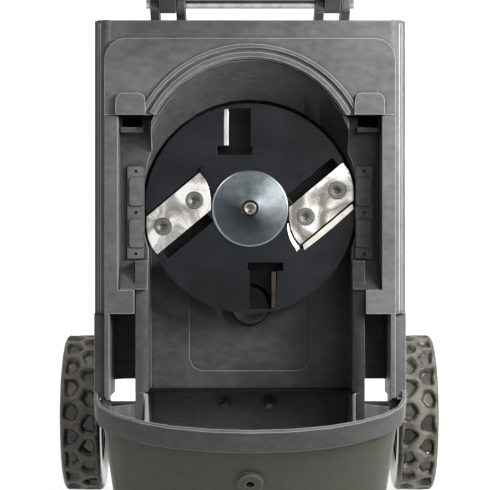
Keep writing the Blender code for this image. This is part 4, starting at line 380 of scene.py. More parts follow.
def bare_metal(name, colour, stained, roughness):
    """Metal with stains, fine scratches and painted shade in its corners."""
    material, tree, shader = new_material(name, colour, roughness, metallic=1.0)
    place = add_node(tree, "ShaderNodeTexCoord").outputs["Object"]
    stains = add_node(
        tree, "ShaderNodeTexNoise", {"Scale": STAINS, "Detail": 5.0, "Roughness": 0.6},
        {"Vector": place}).outputs["Fac"]
    tint = add_node(
        tree, "ShaderNodeValToRGB", links={"Fac": stains},
        stops=[(0.42, colour), (0.68, stained)]).outputs["Color"]
    # Painted shade in the corners and sockets.
    corner_shade = painted_corner_shade(tree, shut=0.25, clear=0.85, darkest=0.12)
    with_corner_shade = add_node(
        tree, "ShaderNodeVectorMath", links={0: tint, "Scale": corner_shade},
        operation="SCALE").outputs["Vector"]
    scratches = add_node(
        tree, "ShaderNodeTexNoise", {"Scale": 1000 / SCRATCH_MM, "Detail": 3.0},
        {"Vector": place}).outputs["Fac"]
    bump = add_node(
        tree, "ShaderNodeBump", {"Strength": SCRATCH_STRENGTH, "Distance": SCRATCH_DEPTH},
        {"Height": scratches}).outputs["Normal"]
    feed(tree, shader, {"Base Color": with_corner_shade, "Normal": bump})
    return material


TURNED_STEEL = bare_metal("turned_steel", "#6b7174", "#585e61", 0.3)
BLACK_SCREW = bare_metal("blackened_screw_steel", "#6c6c6a", "#565654", 0.45)
ZINC = bare_metal("zinc_plated_steel", "#c9cac8", "#aeaea8", 0.3)
HUB_SCREW_STEEL = bare_metal("stained_screw_steel", "#857f78", "#65605a", 0.4)
# The second throwing vane is painted dark brown and the first is bright zinc: painted shade on one of two like
# parts.
VANE_SHADE_STEEL = bare_metal("painted_shade_vane_steel", "#473c32", "#2f2821", 0.5)
CAST = bare_metal("die_cast_aluminium", "#9c9d9e", "#868788", 0.5)
COPPER = bare_metal("enamelled_copper", "#a35a32", "#7d4426", 0.4)
print("metals:", TURNED_STEEL.name, BLACK_SCREW.name, ZINC.name)

# %% [markdown]
# The hub cap's face has a painted dark reflection: a dark sector at the lower left, where the cone would reflect
# the dark side of the room, fades out to both sides. How far a point's direction from the shaft agrees with the
# dark side's direction gives the sector, and a noise of 18 mm makes its border ragged. Object coordinates move
# with the piece, so the painted reflection turns with the cap.

# %% Where the painted dark reflection lies
DARK_REFLECTION_SIDE = (-RIGHT * 0.64 - UP_SLOPE * 0.77).normalized()
RAGGED, RAGGED_SHIFT = 55.0, -0.15
DARK_REFLECTION_STARTS, DARK_REFLECTION_FULL = -0.25, 0.55

tree = TURNED_STEEL.node_tree
shader = tree.nodes["Principled BSDF"]
clean_steel = shader.inputs["Base Color"].links[0].from_socket
place = add_node(tree, "ShaderNodeTexCoord").outputs["Object"]
from_hub = add_node(
    tree, "ShaderNodeVectorMath", {1: CENTRE}, {0: place}, operation="SUBTRACT").outputs["Vector"]
way = add_node(
    tree, "ShaderNodeVectorMath", links={0: from_hub}, operation="NORMALIZE").outputs["Vector"]
toward = add_node(
    tree, "ShaderNodeVectorMath", {1: DARK_REFLECTION_SIDE}, {0: way}, operation="DOT_PRODUCT").outputs["Value"]
ragged = add_node(
    tree, "ShaderNodeTexNoise", {"Scale": RAGGED, "Detail": 4.0}, {"Vector": place}).outputs["Fac"]
shift = add_node(
    tree, "ShaderNodeMath", {2: RAGGED_SHIFT}, {0: ragged, 1: ragged},
    operation="MULTIPLY_ADD").outputs["Value"]
spread = add_node(
    tree, "ShaderNodeMath", links={0: toward, 1: shift}, operation="ADD").outputs["Value"]
sector = add_node(
    tree, "ShaderNodeMapRange", {"From Min": DARK_REFLECTION_STARTS, "From Max": DARK_REFLECTION_FULL},
    {"Value": spread}).outputs["Result"]
print("oil wiped toward", tuple(round(c, 2) for c in DARK_REFLECTION_SIDE))

# %% [markdown]
# The painted reflection is lighter toward the rim, and the last millimetre and a half of the cap is painted paler,
# as a painted highlight along the rim. Both follow the distance from the shaft.

# %% Painted dark reflection and painted rim highlight on the hub cap
DARK_REFLECTION_INNER, DARK_REFLECTION_OUTER = 0.012, 0.037
RIM_HIGHLIGHT_STARTS, RIM_HIGHLIGHT_FULL = 0.0344, 0.0349

from_middle = add_node(
    tree, "ShaderNodeVectorMath", links={0: from_hub}, operation="LENGTH").outputs["Value"]
fading = add_node(
    tree, "ShaderNodeMapRange",
    {"From Min": DARK_REFLECTION_INNER, "From Max": DARK_REFLECTION_OUTER, "To Min": 1.0, "To Max": 0.5},
    {"Value": from_middle}).outputs["Result"]
# Painted dark reflection, weaker toward the rim.
overlay = add_node(
    tree, "ShaderNodeMath", links={0: sector, 1: fading}, operation="MULTIPLY").outputs["Value"]
with_dark_reflection = add_node(
    tree, "ShaderNodeMix", {"B": linear("#2b3134")}, {"Factor": overlay, "A": clean_steel},
    data_type="RGBA").outputs["Result"]
# Painted highlight: the rim ring is painted paler.
on_rim = add_node(
    tree, "ShaderNodeMapRange", {"From Min": RIM_HIGHLIGHT_STARTS, "From Max": RIM_HIGHLIGHT_FULL},
    {"Value": from_middle}).outputs["Result"]
with_rim_highlight = add_node(
    tree, "ShaderNodeMix", {"B": linear("#868a8a")}, {"Factor": on_rim, "A": with_dark_reflection},
    data_type="RGBA").outputs["Result"]
feed(tree, shader, {"Base Color": with_rim_highlight})
print("oil film on", TURNED_STEEL.name)

# %% [markdown]
# The knives are hardened tool steel, surface ground to a near white and then smeared and
# scuffed by sappy wood. The smears are soft grey clouds about 30 mm apart with wavy outlines,
# so their noise is distorted, and a finer one of 2.4 mm roughens them. Only the upper part of
# the noise's range shows.

# %% Ground knife steel
SMEARS, SCUFFS = 30.0, 420.0
SCUFF_SHARE = 0.18

KNIFE_STEEL, tree, shader = new_material("ground_tool_steel", "#e9e7e3", 0.3, metallic=1.0)
place = add_node(tree, "ShaderNodeTexCoord").outputs["Object"]
smears = add_node(
    tree, "ShaderNodeTexNoise", {"Scale": SMEARS, "Detail": 5.0, "Distortion": 1.4},
    {"Vector": place}).outputs["Fac"]
scuffs = add_node(
    tree, "ShaderNodeTexNoise", {"Scale": SCUFFS, "Detail": 3.0, "Distortion": 2.0},
    {"Vector": place}).outputs["Fac"]
mixed = add_node(
    tree, "ShaderNodeMix", {"Factor": SCUFF_SHARE},
    {"A": smears, "B": scuffs}).outputs["Result"]
smeared = add_node(
    tree, "ShaderNodeValToRGB", links={"Fac": mixed},
    stops=[(0.44, "#e8e6e2"), (0.53, "#aaa7a1"), (0.62, "#7b7871")]).outputs["Color"]
feed(tree, shader, {"Base Color": smeared})
print("knives:", KNIFE_STEEL.name)

# %% [markdown]
# The tyres are blown polyethylene. The ribs of the tread are grey with dry soil and the
# hollows between them stay dark and shiny, so the soil follows the distance from the axle,
# which is the same all round the wheel. A noise of 17 mm makes the soil patchy and its border
# uneven. A thinner layer has settled on the upper part of the wheel.

# %% Tyre plastic
SOIL = 60.0
SOIL_UNEVEN = 0.006
SOIL_STARTS, SOIL_FULL = 0.0845, 0.0888
SETTLED_STARTS, SETTLED_FULL, SETTLED_SHARE = 0.035, 0.065, 0.3


def tyre_plastic(name, joint):
    """Blown polyethylene with dry soil on whatever touches the ground."""
    material, tree, shader = new_material(name, "#2b2925", 0.4)
    axle = Vector(JOINT_OF[joint]["pos_m"])
    place = add_node(tree, "ShaderNodeTexCoord").outputs["Object"]
    flat = add_node(
        tree, "ShaderNodeVectorMath", {1: (0, 1, 1)}, {0: place},
        operation="MULTIPLY").outputs["Vector"]
    reach = add_node(
        tree, "ShaderNodeVectorMath", {1: (0, axle.y, axle.z)}, {0: flat},
        operation="DISTANCE").outputs["Value"]
    soil = add_node(
        tree, "ShaderNodeTexNoise", {"Scale": SOIL, "Detail": 6.0, "Roughness": 0.65},
        {"Vector": place}).outputs["Fac"]
    uneven_reach = add_node(
        tree, "ShaderNodeMath", {1: SOIL_UNEVEN}, {0: soil, 2: reach},
        operation="MULTIPLY_ADD").outputs["Value"]
    high = add_node(
        tree, "ShaderNodeMapRange", {"From Min": SOIL_STARTS, "From Max": SOIL_FULL},
        {"Value": uneven_reach}).outputs["Result"]
    patchy = add_node(
        tree, "ShaderNodeMapRange", {"From Min": 0.38, "From Max": 0.6, "To Min": 0.35},
        {"Value": soil}).outputs["Result"]
    ribs = add_node(
        tree, "ShaderNodeMath", links={0: high, 1: patchy}, operation="MULTIPLY").outputs["Value"]
    height = add_node(tree, "ShaderNodeSeparateXYZ", links={0: place}).outputs["Z"]
    settled = add_node(
        tree, "ShaderNodeMapRange",
        {"From Min": axle.z + SETTLED_STARTS, "From Max": axle.z + SETTLED_FULL,
         "To Max": SETTLED_SHARE},
        {"Value": height}).outputs["Result"]
    cover = add_node(
        tree, "ShaderNodeMath", links={0: ribs, 1: settled}, operation="MAXIMUM").outputs["Value"]
    colour = add_node(
        tree, "ShaderNodeValToRGB", links={"Fac": cover},
        stops=[(0.0, "#1d1c1b"), (0.5, "#58544b"), (1.0, "#868277")]).outputs["Color"]
    dull = add_node(
        tree, "ShaderNodeMapRange", {"To Min": 0.16, "To Max": 0.75},
        {"Value": cover}).outputs["Result"]
    feed(tree, shader, {"Base Color": colour, "Roughness": dull})
    return material


TYRE_LEFT = tyre_plastic("blown_polyethylene_left", "wheel_left_spin")
TYRE_RIGHT = tyre_plastic("blown_polyethylene_right", "wheel_right_spin")
print("tyres:", TYRE_LEFT.name, TYRE_RIGHT.name)

# %% [markdown]
# Every carried-over solid gets the finish of what it is, through its material slots, so its
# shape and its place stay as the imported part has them.

# %% Finishes for the solids
FINISHES = {
    BODY_BLACK: ["upper_body", "top_panel", "hopper", "transport_handle"],
    LOWER_BLACK: ["lower_body"],
    CHAMBER_BLACK: ["cutting_chamber"],
    PLATE_BLACK: ["wear_plate_left", "wear_plate_right"],
    SHAFT_PAINTED_LIGHT: ["discharge_shaft"],
    COVER_BLACK: [
        "motor_cover", "switch_box", "lock_knob", "safety_switch", "axle_spacer_left",
        "axle_spacer_right", "wheel_rim_left", "wheel_rim_right", "wheel_cap_left",
        "wheel_cap_right", "cooling_fan", "power_inlet", "reset_button"],
    DISC_PAINT: ["blade_disc"],
    KNIFE_STEEL: ["knife_1", "knife_2"],
    TURNED_STEEL: ["hub_cap"],
    BLACK_SCREW: ["knife_screw_1a", "knife_screw_1b", "knife_screw_2a", "knife_screw_2b"],
    ZINC: [
        "axle", "hinge_pin", "lock_bolt", "front_bearing", "rear_bearing",
        "motor_shaft_and_armature", "throwing_vane_1"],
    HUB_SCREW_STEEL: ["hub_screw", "shaft_screw_1", "shaft_screw_2"],
    VANE_SHADE_STEEL: ["throwing_vane_2"],
    CAST: ["motor_flange", "motor_end_bell"],
    COPPER: ["motor_stator"],
    TYRE_LEFT: ["tyre_left"],
    TYRE_RIGHT: ["tyre_right"],
    RUBBER: ["foot_left", "foot_right"],
    GREEN: ["on_button"],
    RED: ["off_button"],
}
FINISH_OF = {name: material for material, names in FINISHES.items() for name in names}
for name, material in FINISH_OF.items():
    for slot in frame["nodes"][name].material_slots:
        slot.material = material
print("finished", len(FINISH_OF), "solids")

# %% [markdown]
# A moulded or machined edge is never sharp. Its small radius catches the light as a thin
# bright line, and the seam beside it goes dark, which is most of what the eye reads as a real
# moulding. A CAD solid is never changed here, so each one with sharp edges is copied, and the
# copy stands for it. Weighted normals keep the copy's large faces flat beside its roundings.

# %% A finer piece in a solid's place
CREASE = math.radians(50)


def stand_for(piece, node):
    """Gives a finer piece the finish and the body of the solid it stands for."""
    piece.data.materials.append(FINISH_OF[node])
    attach(piece, BODY_OF[node])
    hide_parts(node)


def finish_mesh(work, name):
    """Turns mesh data into an object with smooth curved faces and flat plane ones."""
    for edge in work.edges:
        if len(edge.link_faces) == 2 and edge.calc_face_angle() > CREASE:
            edge.smooth = False
    for face in work.faces:
        face.smooth = True
    mesh = bpy.data.meshes.new(name)
    work.to_mesh(mesh)
    work.free()
    piece = bpy.data.objects.new(name, mesh)
    bpy.context.scene.collection.objects.link(piece)
    evened = piece.modifiers.new("flat faces stay flat", "WEIGHTED_NORMAL")
    evened.keep_sharp = True
    return piece


print("edges over", round(math.degrees(CREASE)), "degrees are shaded sharp")

# %% [markdown]
# A solid arrives as triangles. Points closer than 0.04 mm are welded and its flat faces are
# joined into single ones, so that a rounding meets no stray triangle. An edge is rounded only
# where there is room for it: a bevel that runs past a short edge, or into its neighbour, folds
# over itself.

# %% Which edges can be rounded
SHARP = math.radians(33)
FLAT = math.radians(0.5)
WELD = 0.00004
NEARLY_ALONG = math.cos(math.radians(15))
IN_LINE, PARALLEL = 0.9, 0.95  # cosines of the angle between two edges
SIDE_ROOM, TWIN_ROOM = 1.3, 2.2  # in widths of the rounding


def joined_faces(node):
    """A solid's mesh with its flat faces whole."""
    work = bmesh.new()
    work.from_mesh(frame["nodes"][node].data)
    bmesh.ops.remove_doubles(work, verts=work.verts, dist=WELD)
    bmesh.ops.dissolve_limit(work, angle_limit=FLAT, verts=work.verts, edges=work.edges)
    return work


def is_sharp(edge):
    """Whether two faces meet at an edge that a mould or a cutter would round."""
    return len(edge.link_faces) == 2 and edge.calc_face_angle() > SHARP


def ends_are_free(edge, width):
    """Whether no edge at either end is too short, or flat and nearly in line."""
    for vertex in edge.verts:
        away = (edge.other_vert(vertex).co - vertex.co).normalized()
        for other in vertex.link_edges:
            if other is edge:
                continue
            reach = other.other_vert(vertex).co - vertex.co
            same_way = away.dot(reach.normalized())
            if not is_sharp(other) and same_way > NEARLY_ALONG:
                return False
            sideways = reach.length * math.sqrt(max(0.0, 1 - same_way ** 2))
            if abs(same_way) < IN_LINE and sideways < width * SIDE_ROOM:
                return False
    return True


def sides_are_free(edge, width):
    """Whether no parallel sharp edge of the same faces is too near."""
    start, end = (vertex.co for vertex in edge.verts)
    along = (end - start).normalized()
    for face in edge.link_faces:
        inward = face.normal.cross(along)
        for other in face.edges:
            if other is edge or not is_sharp(other):
                continue
            first, last = (vertex.co for vertex in other.verts)
            if abs((last - first).normalized().dot(along)) < PARALLEL:
                continue
            between = (first + last) / 2 - (start + end) / 2
            beside = abs(between.dot(along)) < (edge.calc_length() + other.calc_length()) / 2
            if beside and abs(between.dot(inward)) < width * TWIN_ROOM:
                return False
    return True


print("edges sharper than", round(math.degrees(SHARP)), "degrees are rounded")

# %% [markdown]
# bmesh's bevel does the rounding. Two segments are enough for a radius under 1 mm, because the
# normals do the rest. With one segment the same call cuts a plain slope, which is used below.


# %% Bevels
def bevel(work, edges, width, segments):
    """Rounds edges, or with one segment slopes them, by a width in metres."""
    bmesh.ops.bevel(
        work, geom=edges, offset=width, offset_type="OFFSET", segments=segments, profile=0.5,
        affect="EDGES", clamp_overlap=False)


def round_edges(work, width, segments=2):
    """Rounds every sharp edge that has room and says how many there were."""
    work.normal_update()
    edges = [
        edge for edge in work.edges
        if is_sharp(edge) and ends_are_free(edge, width) and sides_are_free(edge, width)]
    bevel(work, edges, width, segments)
    return len(edges)


print("bevels ready")

# %% [markdown]
# Two trims of the mouldings are slopes, which the solids leave square: the shoulder along both
# long outer edges of the body, 9 mm wide, and the inner top edge of each ridge beside the
# trough, 5 mm wide. Each function picks its edges by where they lie.

# %% Sloped shoulders and ridges
SHOULDER = 0.009
SHOULDER_SHORTEST = 0.1
ALONG_SLOPE, FACING_OUT = 0.99, 0.9
RIDGE_SLOPE = 0.005
RIDGE_INNER, RIDGE_TOP = 0.095, 0.025
RIDGE_SHORTEST = 0.08
NEAR = 0.0005


def cut_shoulders(work):
    """Slopes the long outer edges of the body, which the mould leaves as a wide flat corner."""
    outer = max(vertex.co.x for vertex in work.verts)
    long_edges = []
    for edge in work.edges:
        first, last = (vertex.co for vertex in edge.verts)
        at_side = min(abs(first.x), abs(last.x)) > outer - WELD
        up_slope = abs((last - first).normalized().dot(UP_SLOPE)) > ALONG_SLOPE
        on_top = any(face.normal.dot(OUT) > FACING_OUT for face in edge.link_faces)
        if at_side and up_slope and on_top and is_sharp(edge):
            if edge.calc_length() > SHOULDER_SHORTEST:
                long_edges.append(edge)
    bevel(work, long_edges, SHOULDER, 1)
    print("shoulders cut on", len(long_edges), "edges")


def slope_ridges(work):
    """Slopes the inner top edges of the two ridges along the trough."""
    to_disc = DISC_FRAME.inverted()
    long_edges = []
    for edge in work.edges:
        ends = [to_disc @ vertex.co for vertex in edge.verts]
        on_ridge = all(abs(abs(end.x) - RIDGE_INNER) < NEAR and end.z > RIDGE_TOP - NEAR
                       for end in ends)
        if on_ridge and edge.calc_length() > RIDGE_SHORTEST and is_sharp(edge):
            long_edges.append(edge)
    bevel(work, long_edges, RIDGE_SLOPE, 1)
    print("ridges sloped on", len(long_edges), "edges")


print("slopes of", SHOULDER * 1000, "mm and", RIDGE_SLOPE * 1000, "mm")

# %% [markdown]
# Each process leaves its own radius: nearly a millimetre on a large moulding, half of that on
# a small or thin one, and a ground knife keeps only a fifth.

# %% Rounded edges
ROUNDINGS = {
    0.0009: ["upper_body", "cutting_chamber", "lower_body"],
    0.0008: [
        "discharge_shaft", "motor_cover", "switch_box", "transport_handle", "lock_knob",
        "wheel_rim_left", "wheel_rim_right"],
    0.0004: [
        "top_panel", "hopper", "wear_plate_left", "wear_plate_right", "power_inlet",
        "safety_switch", "foot_left", "foot_right", "on_button", "off_button",
        "throwing_vane_1", "throwing_vane_2"],
    0.0002: ["knife_1", "knife_2"],
}
SLOPES = {"upper_body": cut_shoulders, "cutting_chamber": slope_ridges}
for width, names in ROUNDINGS.items():
    for name in names:
        work = joined_faces(name)
        if name in SLOPES:
            SLOPES[name](work)
        count = round_edges(work, width)
        stand_for(finish_mesh(work, name + "_rounded"), name)
        print(name, "has", count, "edges rounded to", round(width * 1000, 1), "mm")

# %% [markdown]
# The disc's rim is a circle 198 mm across, and the solid has it as a polygon. The ring edges
# are divided and their new points pushed out to the true radius before the rounding, so the
# outline is round in close-up.

# %% Disc
RIM_CUTS = 3
ON_RIM = 0.0002
NEAR_RIM = 0.99
DISC_EDGE = 0.0008

work = joined_faces("blade_disc")
bmesh.ops.transform(work, matrix=DISC_FRAME.inverted(), verts=work.verts)
cad_points = [vertex.co for vertex in frame["nodes"]["blade_disc"].data.vertices]
disc_radius = max((DISC_FRAME.inverted() @ point).xy.length for point in cad_points)


def is_rim(vertex):
    """Whether a point lies on the disc's outer edge."""
    return abs(vertex.co.xy.length - disc_radius) < ON_RIM


rim = [
    edge for edge in work.edges
    if all(is_rim(vertex) for vertex in edge.verts)
    and abs(edge.verts[0].co.z - edge.verts[1].co.z) < ON_RIM]
bmesh.ops.subdivide_edges(work, edges=rim, cuts=RIM_CUTS, use_grid_fill=False)
for vertex in work.verts:
    reach = vertex.co.xy.length
    if disc_radius * NEAR_RIM < reach < disc_radius:
        vertex.co.xy *= disc_radius / reach
bmesh.ops.transform(work, matrix=DISC_FRAME, verts=work.verts)
round_edges(work, DISC_EDGE, 3)
stand_for(finish_mesh(work, "blade_disc_rounded"), "blade_disc")
print("disc radius", round(disc_radius * 1000, 1), "mm,", len(rim), "rim edges divided")

# %% [markdown]
# The tyre's tread is two rows of soft hollows, staggered like a honeycomb. Blow moulding
# leaves every corner round, so the tread is worked out as a height: for each point of a fine
# grid round the tyre, the distance to the nearest rib says how deep the hollow is there.
# Cutting the hollows out with booleans would leave them sharp. A smooth minimum of the
# distances to the walls rounds the corners of each cell, and a smooth step rounds its slopes.

# %% How deep the tread is
TYRE_HALF, TYRE_RADIUS = 0.022, 0.087
TREAD_ROW = 0.0108
TREAD_CELLS = 20
CELL_PITCH = 2 * math.pi * TYRE_RADIUS / TREAD_CELLS
RIB_HALF, CELL_SLOPE, CELL_DEPTH = 0.0027, 0.003, 0.0055
CORNER_ROUND = 0.0011
OUTER_RIB = 0.0018


def across_bisector(along, across, other_along, other_across):
    """How far a point is on this side of the line halfway to another cell's middle."""
    span = math.hypot(other_along, other_across)
    return span / 2 - (along * other_along + across * other_across) / span


def hollow(around, across):
    """How deep the tread is hollowed at a point of its surface."""
    side = 1 if across > 0 else -1
    stagger = 0.0 if side > 0 else 0.5
    along = ((around / CELL_PITCH + stagger + 0.5) % 1 - 0.5) * CELL_PITCH
    inward = across * side - TREAD_ROW
    walls = [
        CELL_PITCH / 2 - abs(along),
        TYRE_HALF - OUTER_RIB - abs(across),
        across_bisector(along, inward, CELL_PITCH / 2, -2 * TREAD_ROW),
        across_bisector(along, inward, -CELL_PITCH / 2, -2 * TREAD_ROW),
    ]
    nearest = -CORNER_ROUND * math.log(sum(math.exp(-wall / CORNER_ROUND) for wall in walls))
    share = min(1.0, max(0.0, (nearest - RIB_HALF) / CELL_SLOPE))
    return CELL_DEPTH * share * share * (3 - 2 * share)


print("tread cells", round(CELL_PITCH * 1000, 1), "mm apart")

# %% [markdown]
# The tyre's section is a flat tread with rounded shoulders and sloped sides. The pattern's
# points are also moved a little by a noise, so that no two hollows are quite alike, as on a
# tyre that has worn. Blender starts this noise from the clock, so it gets a fixed seed, and
# every run gives the same tyre.

# %% The tyre's section
TREAD_FLAT = 0.0165
SHOULDER_RADIUS, SIDE_RADIUS, BORE_RADIUS = 0.079, 0.066, 0.0583
BORE_INSET = 0.004
SECTION_STEPS = 40
UNEVEN, UNEVEN_SCALE, UNEVEN_SEED = 0.0028, 7.0, 1
noise.seed_set(UNEVEN_SEED)


def tyre_outline():
    """The tyre's section as (across, radius, whether it is tread), once round."""
    tread = []
    for step in range(SECTION_STEPS + 1):
        across = TYRE_HALF * math.sin(math.pi * (step / SECTION_STEPS - 0.5))
        beyond = max(0.0, abs(across) - TREAD_FLAT) / (TYRE_HALF - TREAD_FLAT)
        rise = math.sqrt(max(0.0, 1 - beyond ** 2))
        tread.append((across, SHOULDER_RADIUS + (TYRE_RADIUS - SHOULDER_RADIUS) * rise, True))
    bore = TYRE_HALF - BORE_INSET
    return tread + [
        (TYRE_HALF, SIDE_RADIUS, False), (bore, BORE_RADIUS, False),
        (-bore, BORE_RADIUS, False), (-TYRE_HALF, SIDE_RADIUS, False)]


def uneven(around, across):
    """Moves a point of the tread's pattern a little."""
    turn = around / TYRE_RADIUS
    place = Vector((math.cos(turn), math.sin(turn), across / TYRE_RADIUS)) * UNEVEN_SCALE
    shift = noise.noise_vector(place) * UNEVEN
    return around + shift.x, across + shift.y


print("section of", len(tyre_outline()), "points")

# %% [markdown]
# The section is swept round the axle, 16 steps to a cell, and quads join each ring to the
# next. The same function joins the rings of the turned pieces below, where a ring of a single
# point on the axis makes a fan of triangles.

# %% Tyres
CELL_STEPS = 16
TYRE_STEPS = TREAD_CELLS * CELL_STEPS


def join_rings(work, pairs):
    """Joins pairs of rings of points by faces and turns all faces outwards."""
    for low, high in pairs:
        steps = max(len(low), len(high))
        for i in range(steps):
            j = (i + 1) % steps
            corners = [low[i % len(low)], low[j % len(low)], high[j % len(high)],
                       high[i % len(high)]]
            work.faces.new(list(dict.fromkeys(corners)))
    bmesh.ops.recalc_face_normals(work, faces=work.faces)


for wheel in ("left", "right"):
    axle = Vector(JOINT_OF[f"wheel_{wheel}_spin"]["pos_m"])
    work = bmesh.new()
    rings = []
    for across, radius, on_tread in tyre_outline():
        ring = []
        for step in range(TYRE_STEPS):
            angle = 2 * math.pi * step / TYRE_STEPS
            reach = radius - (hollow(*uneven(angle * TYRE_RADIUS, across)) if on_tread else 0)
            corner = Vector((across, reach * math.cos(angle), reach * math.sin(angle)))
            ring.append(work.verts.new(axle + corner))
        rings.append(ring)
    join_rings(work, zip(rings, rings[1:] + rings[:1]))
    stand_for(finish_mesh(work, f"tyre_{wheel}_moulded"), f"tyre_{wheel}")
    print("tyre", wheel, "has", 2 * TREAD_CELLS, "hollows")

# %% [markdown]
# Screws and the hub cap are turned parts, so a profile swept round an axis makes them. A
# hexagon socket fits the same sweep: its ring has as many points as the round ones, laid along
# the six sides.

# %% Turned pieces
TURNED_STEPS = 96
TURNED_EDGE = 0.00015
HEXAGON_SIDE = math.radians(60)


def ring_reach(angle, shape):
    """How far out a ring's point is: 1 on a circle, or the hexagon's side in that direction."""
    if shape == "round":
        return 1.0
    return math.cos(HEXAGON_SIDE / 2) / math.cos(angle % HEXAGON_SIDE - HEXAGON_SIDE / 2)


def turned_piece(node, profile, place):
    """Sweeps (radius, height, shape) points round the z axis of a frame."""
    work = bmesh.new()
    rings = []
    for radius, height, shape in profile:
        if radius == 0:
            rings.append([work.verts.new(place @ Vector((0, 0, height)))])
            continue
        ring = []
        for i in range(TURNED_STEPS):
            angle = 2 * math.pi * i / TURNED_STEPS
            reach = radius * ring_reach(angle, shape)
            point = Vector((reach * math.cos(angle), reach * math.sin(angle), height))
            ring.append(work.verts.new(place @ point))
        rings.append(ring)
    join_rings(work, zip(rings, rings[1:]))
    round_edges(work, TURNED_EDGE)
    stand_for(finish_mesh(work, node + "_turned"), node)


print("turned pieces have", TURNED_STEPS, "steps")

# %% [markdown]
# The hub cap is a shallow cone with a narrow flat rim and a recess for its screw. A cone
# reflects each lamp as a wedge that widens outwards, which is what tells it from a dome. Its
# profile starts and ends on the bore, so it closes into a ring.

# %% Hub cap
HUB_RADIUS = 0.036
HUB_TOP = 0.0068
HUB_RISE = 0.0003
HUB_RIM = 0.0015
HUB_BORE = 0.0046
RECESS = 0.0075

turned_piece("hub_cap", [
    (HUB_BORE, HUB_RISE, "round"),
    (HUB_RADIUS, HUB_RISE, "round"),
    (HUB_RADIUS, HUB_RISE + 0.0009, "round"),
    (HUB_RADIUS - HUB_RIM, HUB_RISE + 0.0014, "round"),
    (HUB_RADIUS - HUB_RIM - 0.0003, HUB_RISE + 0.0012, "round"),
    (RECESS + 0.003, HUB_TOP - 0.0006, "round"),
    (RECESS + 0.001, HUB_TOP, "round"),
    (RECESS + 0.0003, HUB_TOP - 0.0001, "round"),
    (RECESS, HUB_TOP - 0.0008, "round"),
    (RECESS, HUB_RISE + 0.0012, "round"),
    (HUB_BORE, HUB_RISE + 0.0012, "round"),
    (HUB_BORE, HUB_RISE, "round"),
], DISC_FRAME)
print("hub cap", HUB_RADIUS * 2000, "mm across")

# %% [markdown]
# The hub screw has a small cylinder head with a hexagon socket, and sits in the recess.

# %% Hub screw
SHANK = 0.004
HUB_HEAD = 0.0062
HUB_SOCKET = 0.0036
SCREW_SEAT = 0.0018
SCREW_TOP = SCREW_SEAT + 0.006

turned_piece("hub_screw", [
    (0, -0.028, "round"),
    (SHANK, -0.028, "round"),
    (SHANK, SCREW_SEAT, "round"),
    (HUB_HEAD, SCREW_SEAT, "round"),
    (HUB_HEAD, SCREW_TOP - 0.0007, "round"),
    (HUB_HEAD - 0.0007, SCREW_TOP, "round"),
    (HUB_SOCKET + 0.0006, SCREW_TOP, "round"),
    (HUB_SOCKET, SCREW_TOP - 0.0005, "hexagon"),
    (HUB_SOCKET, SCREW_TOP - 0.0045, "hexagon"),
    (0, SCREW_TOP - 0.005, "round"),
], DISC_FRAME)
print("hub screw head", round(HUB_HEAD * 2000, 1), "mm across")

# %% [markdown]
# The knife screws have countersunk heads a little below the knife's face. Each is turned in
# the frame of its knife, which is tipped by 4 degrees so that the cutting edge stands proud of
# the disc. The second knife is the first one turned by half a turn.

# %% Where the knives lie
KNIFE_MIDDLE = Vector((-0.0674, -0.0046, 0.0))
KNIFE_ANGLE = math.radians(39.8)
KNIFE_TIP = math.radians(4)
KNIFE_HALF_LENGTH, KNIFE_HALF_WIDTH = 0.03275, 0.017
KNIFE_DROP = 0.0008 - KNIFE_HALF_WIDTH * math.sin(KNIFE_TIP)


def pocket_frame(number, drop=0.0):
    """The frame of one knife's pocket, in the disc's face or below it."""
    half_turns = Matrix.Rotation(math.pi * (number - 1), 4, "Z")
    middle = Matrix.Translation((KNIFE_MIDDLE.x, KNIFE_MIDDLE.y, drop))
    return DISC_FRAME @ half_turns @ middle @ Matrix.Rotation(KNIFE_ANGLE, 4, "Z")


def knife_frame(number):
    """The frame of one knife: that of its pocket, lowered and tipped."""
    return pocket_frame(number, KNIFE_DROP) @ Matrix.Rotation(-KNIFE_TIP, 4, "X")


print("knives at", round(math.degrees(KNIFE_ANGLE), 1), "degrees")

# %% [markdown]
# The head is a cone of 45 degrees under a thin edge, with a shallow ring round its hexagon
# socket.

# %% Knife screws
SCREW_SPACING = 0.0386
HEAD = 0.0083
SOCKET = 0.0031
FACE = -0.0003
UNDER_EDGE = FACE - 0.0005

screw_profile = [
    (0, -0.0098, "round"),
    (SHANK, -0.0098, "round"),
    (SHANK, UNDER_EDGE - 0.0043, "round"),
    (HEAD, UNDER_EDGE, "round"),
    (HEAD - 0.0004, FACE, "round"),
    (0.0052, FACE, "round"),
    (0.0048, FACE - 0.0004, "round"),
    (0.0038, FACE - 0.0004, "round"),
    (SOCKET, FACE - 0.0009, "hexagon"),
    (SOCKET, FACE - 0.0036, "hexagon"),
    (0, FACE - 0.0042, "round"),
]
for number in (1, 2):
    for letter, side in (("a", -1), ("b", 1)):
        middle = Matrix.Translation((side * SCREW_SPACING / 2, 0, 0))
        turned_piece(f"knife_screw_{number}{letter}", screw_profile, knife_frame(number) @ middle)
print("knife screws at", round(SCREW_SPACING * 1000, 1), "mm")

# %% [markdown]
# Behind each knife, and beside its inner end, the pocket's edge is ground to a narrow ramp, so that waste slides
# out. At knife 2 the ramp is bright bare steel, a painted highlight, and at knife 1 it keeps the disc's paint. The
# ramp is a thin strip of quads that rises a little over the disc's face.

# %% A ramp in a knife pocket
RAMP_LOW, RAMP_HIGH, RAMP_THICK = -0.0001, 0.00035, 0.0006
# Bright bare steel for one ramp: a painted highlight.
RAMP_HIGHLIGHT_STEEL = bare_metal("painted_highlight_pocket_edge_steel", "#d2cdc3", "#b9b4aa", 0.4)


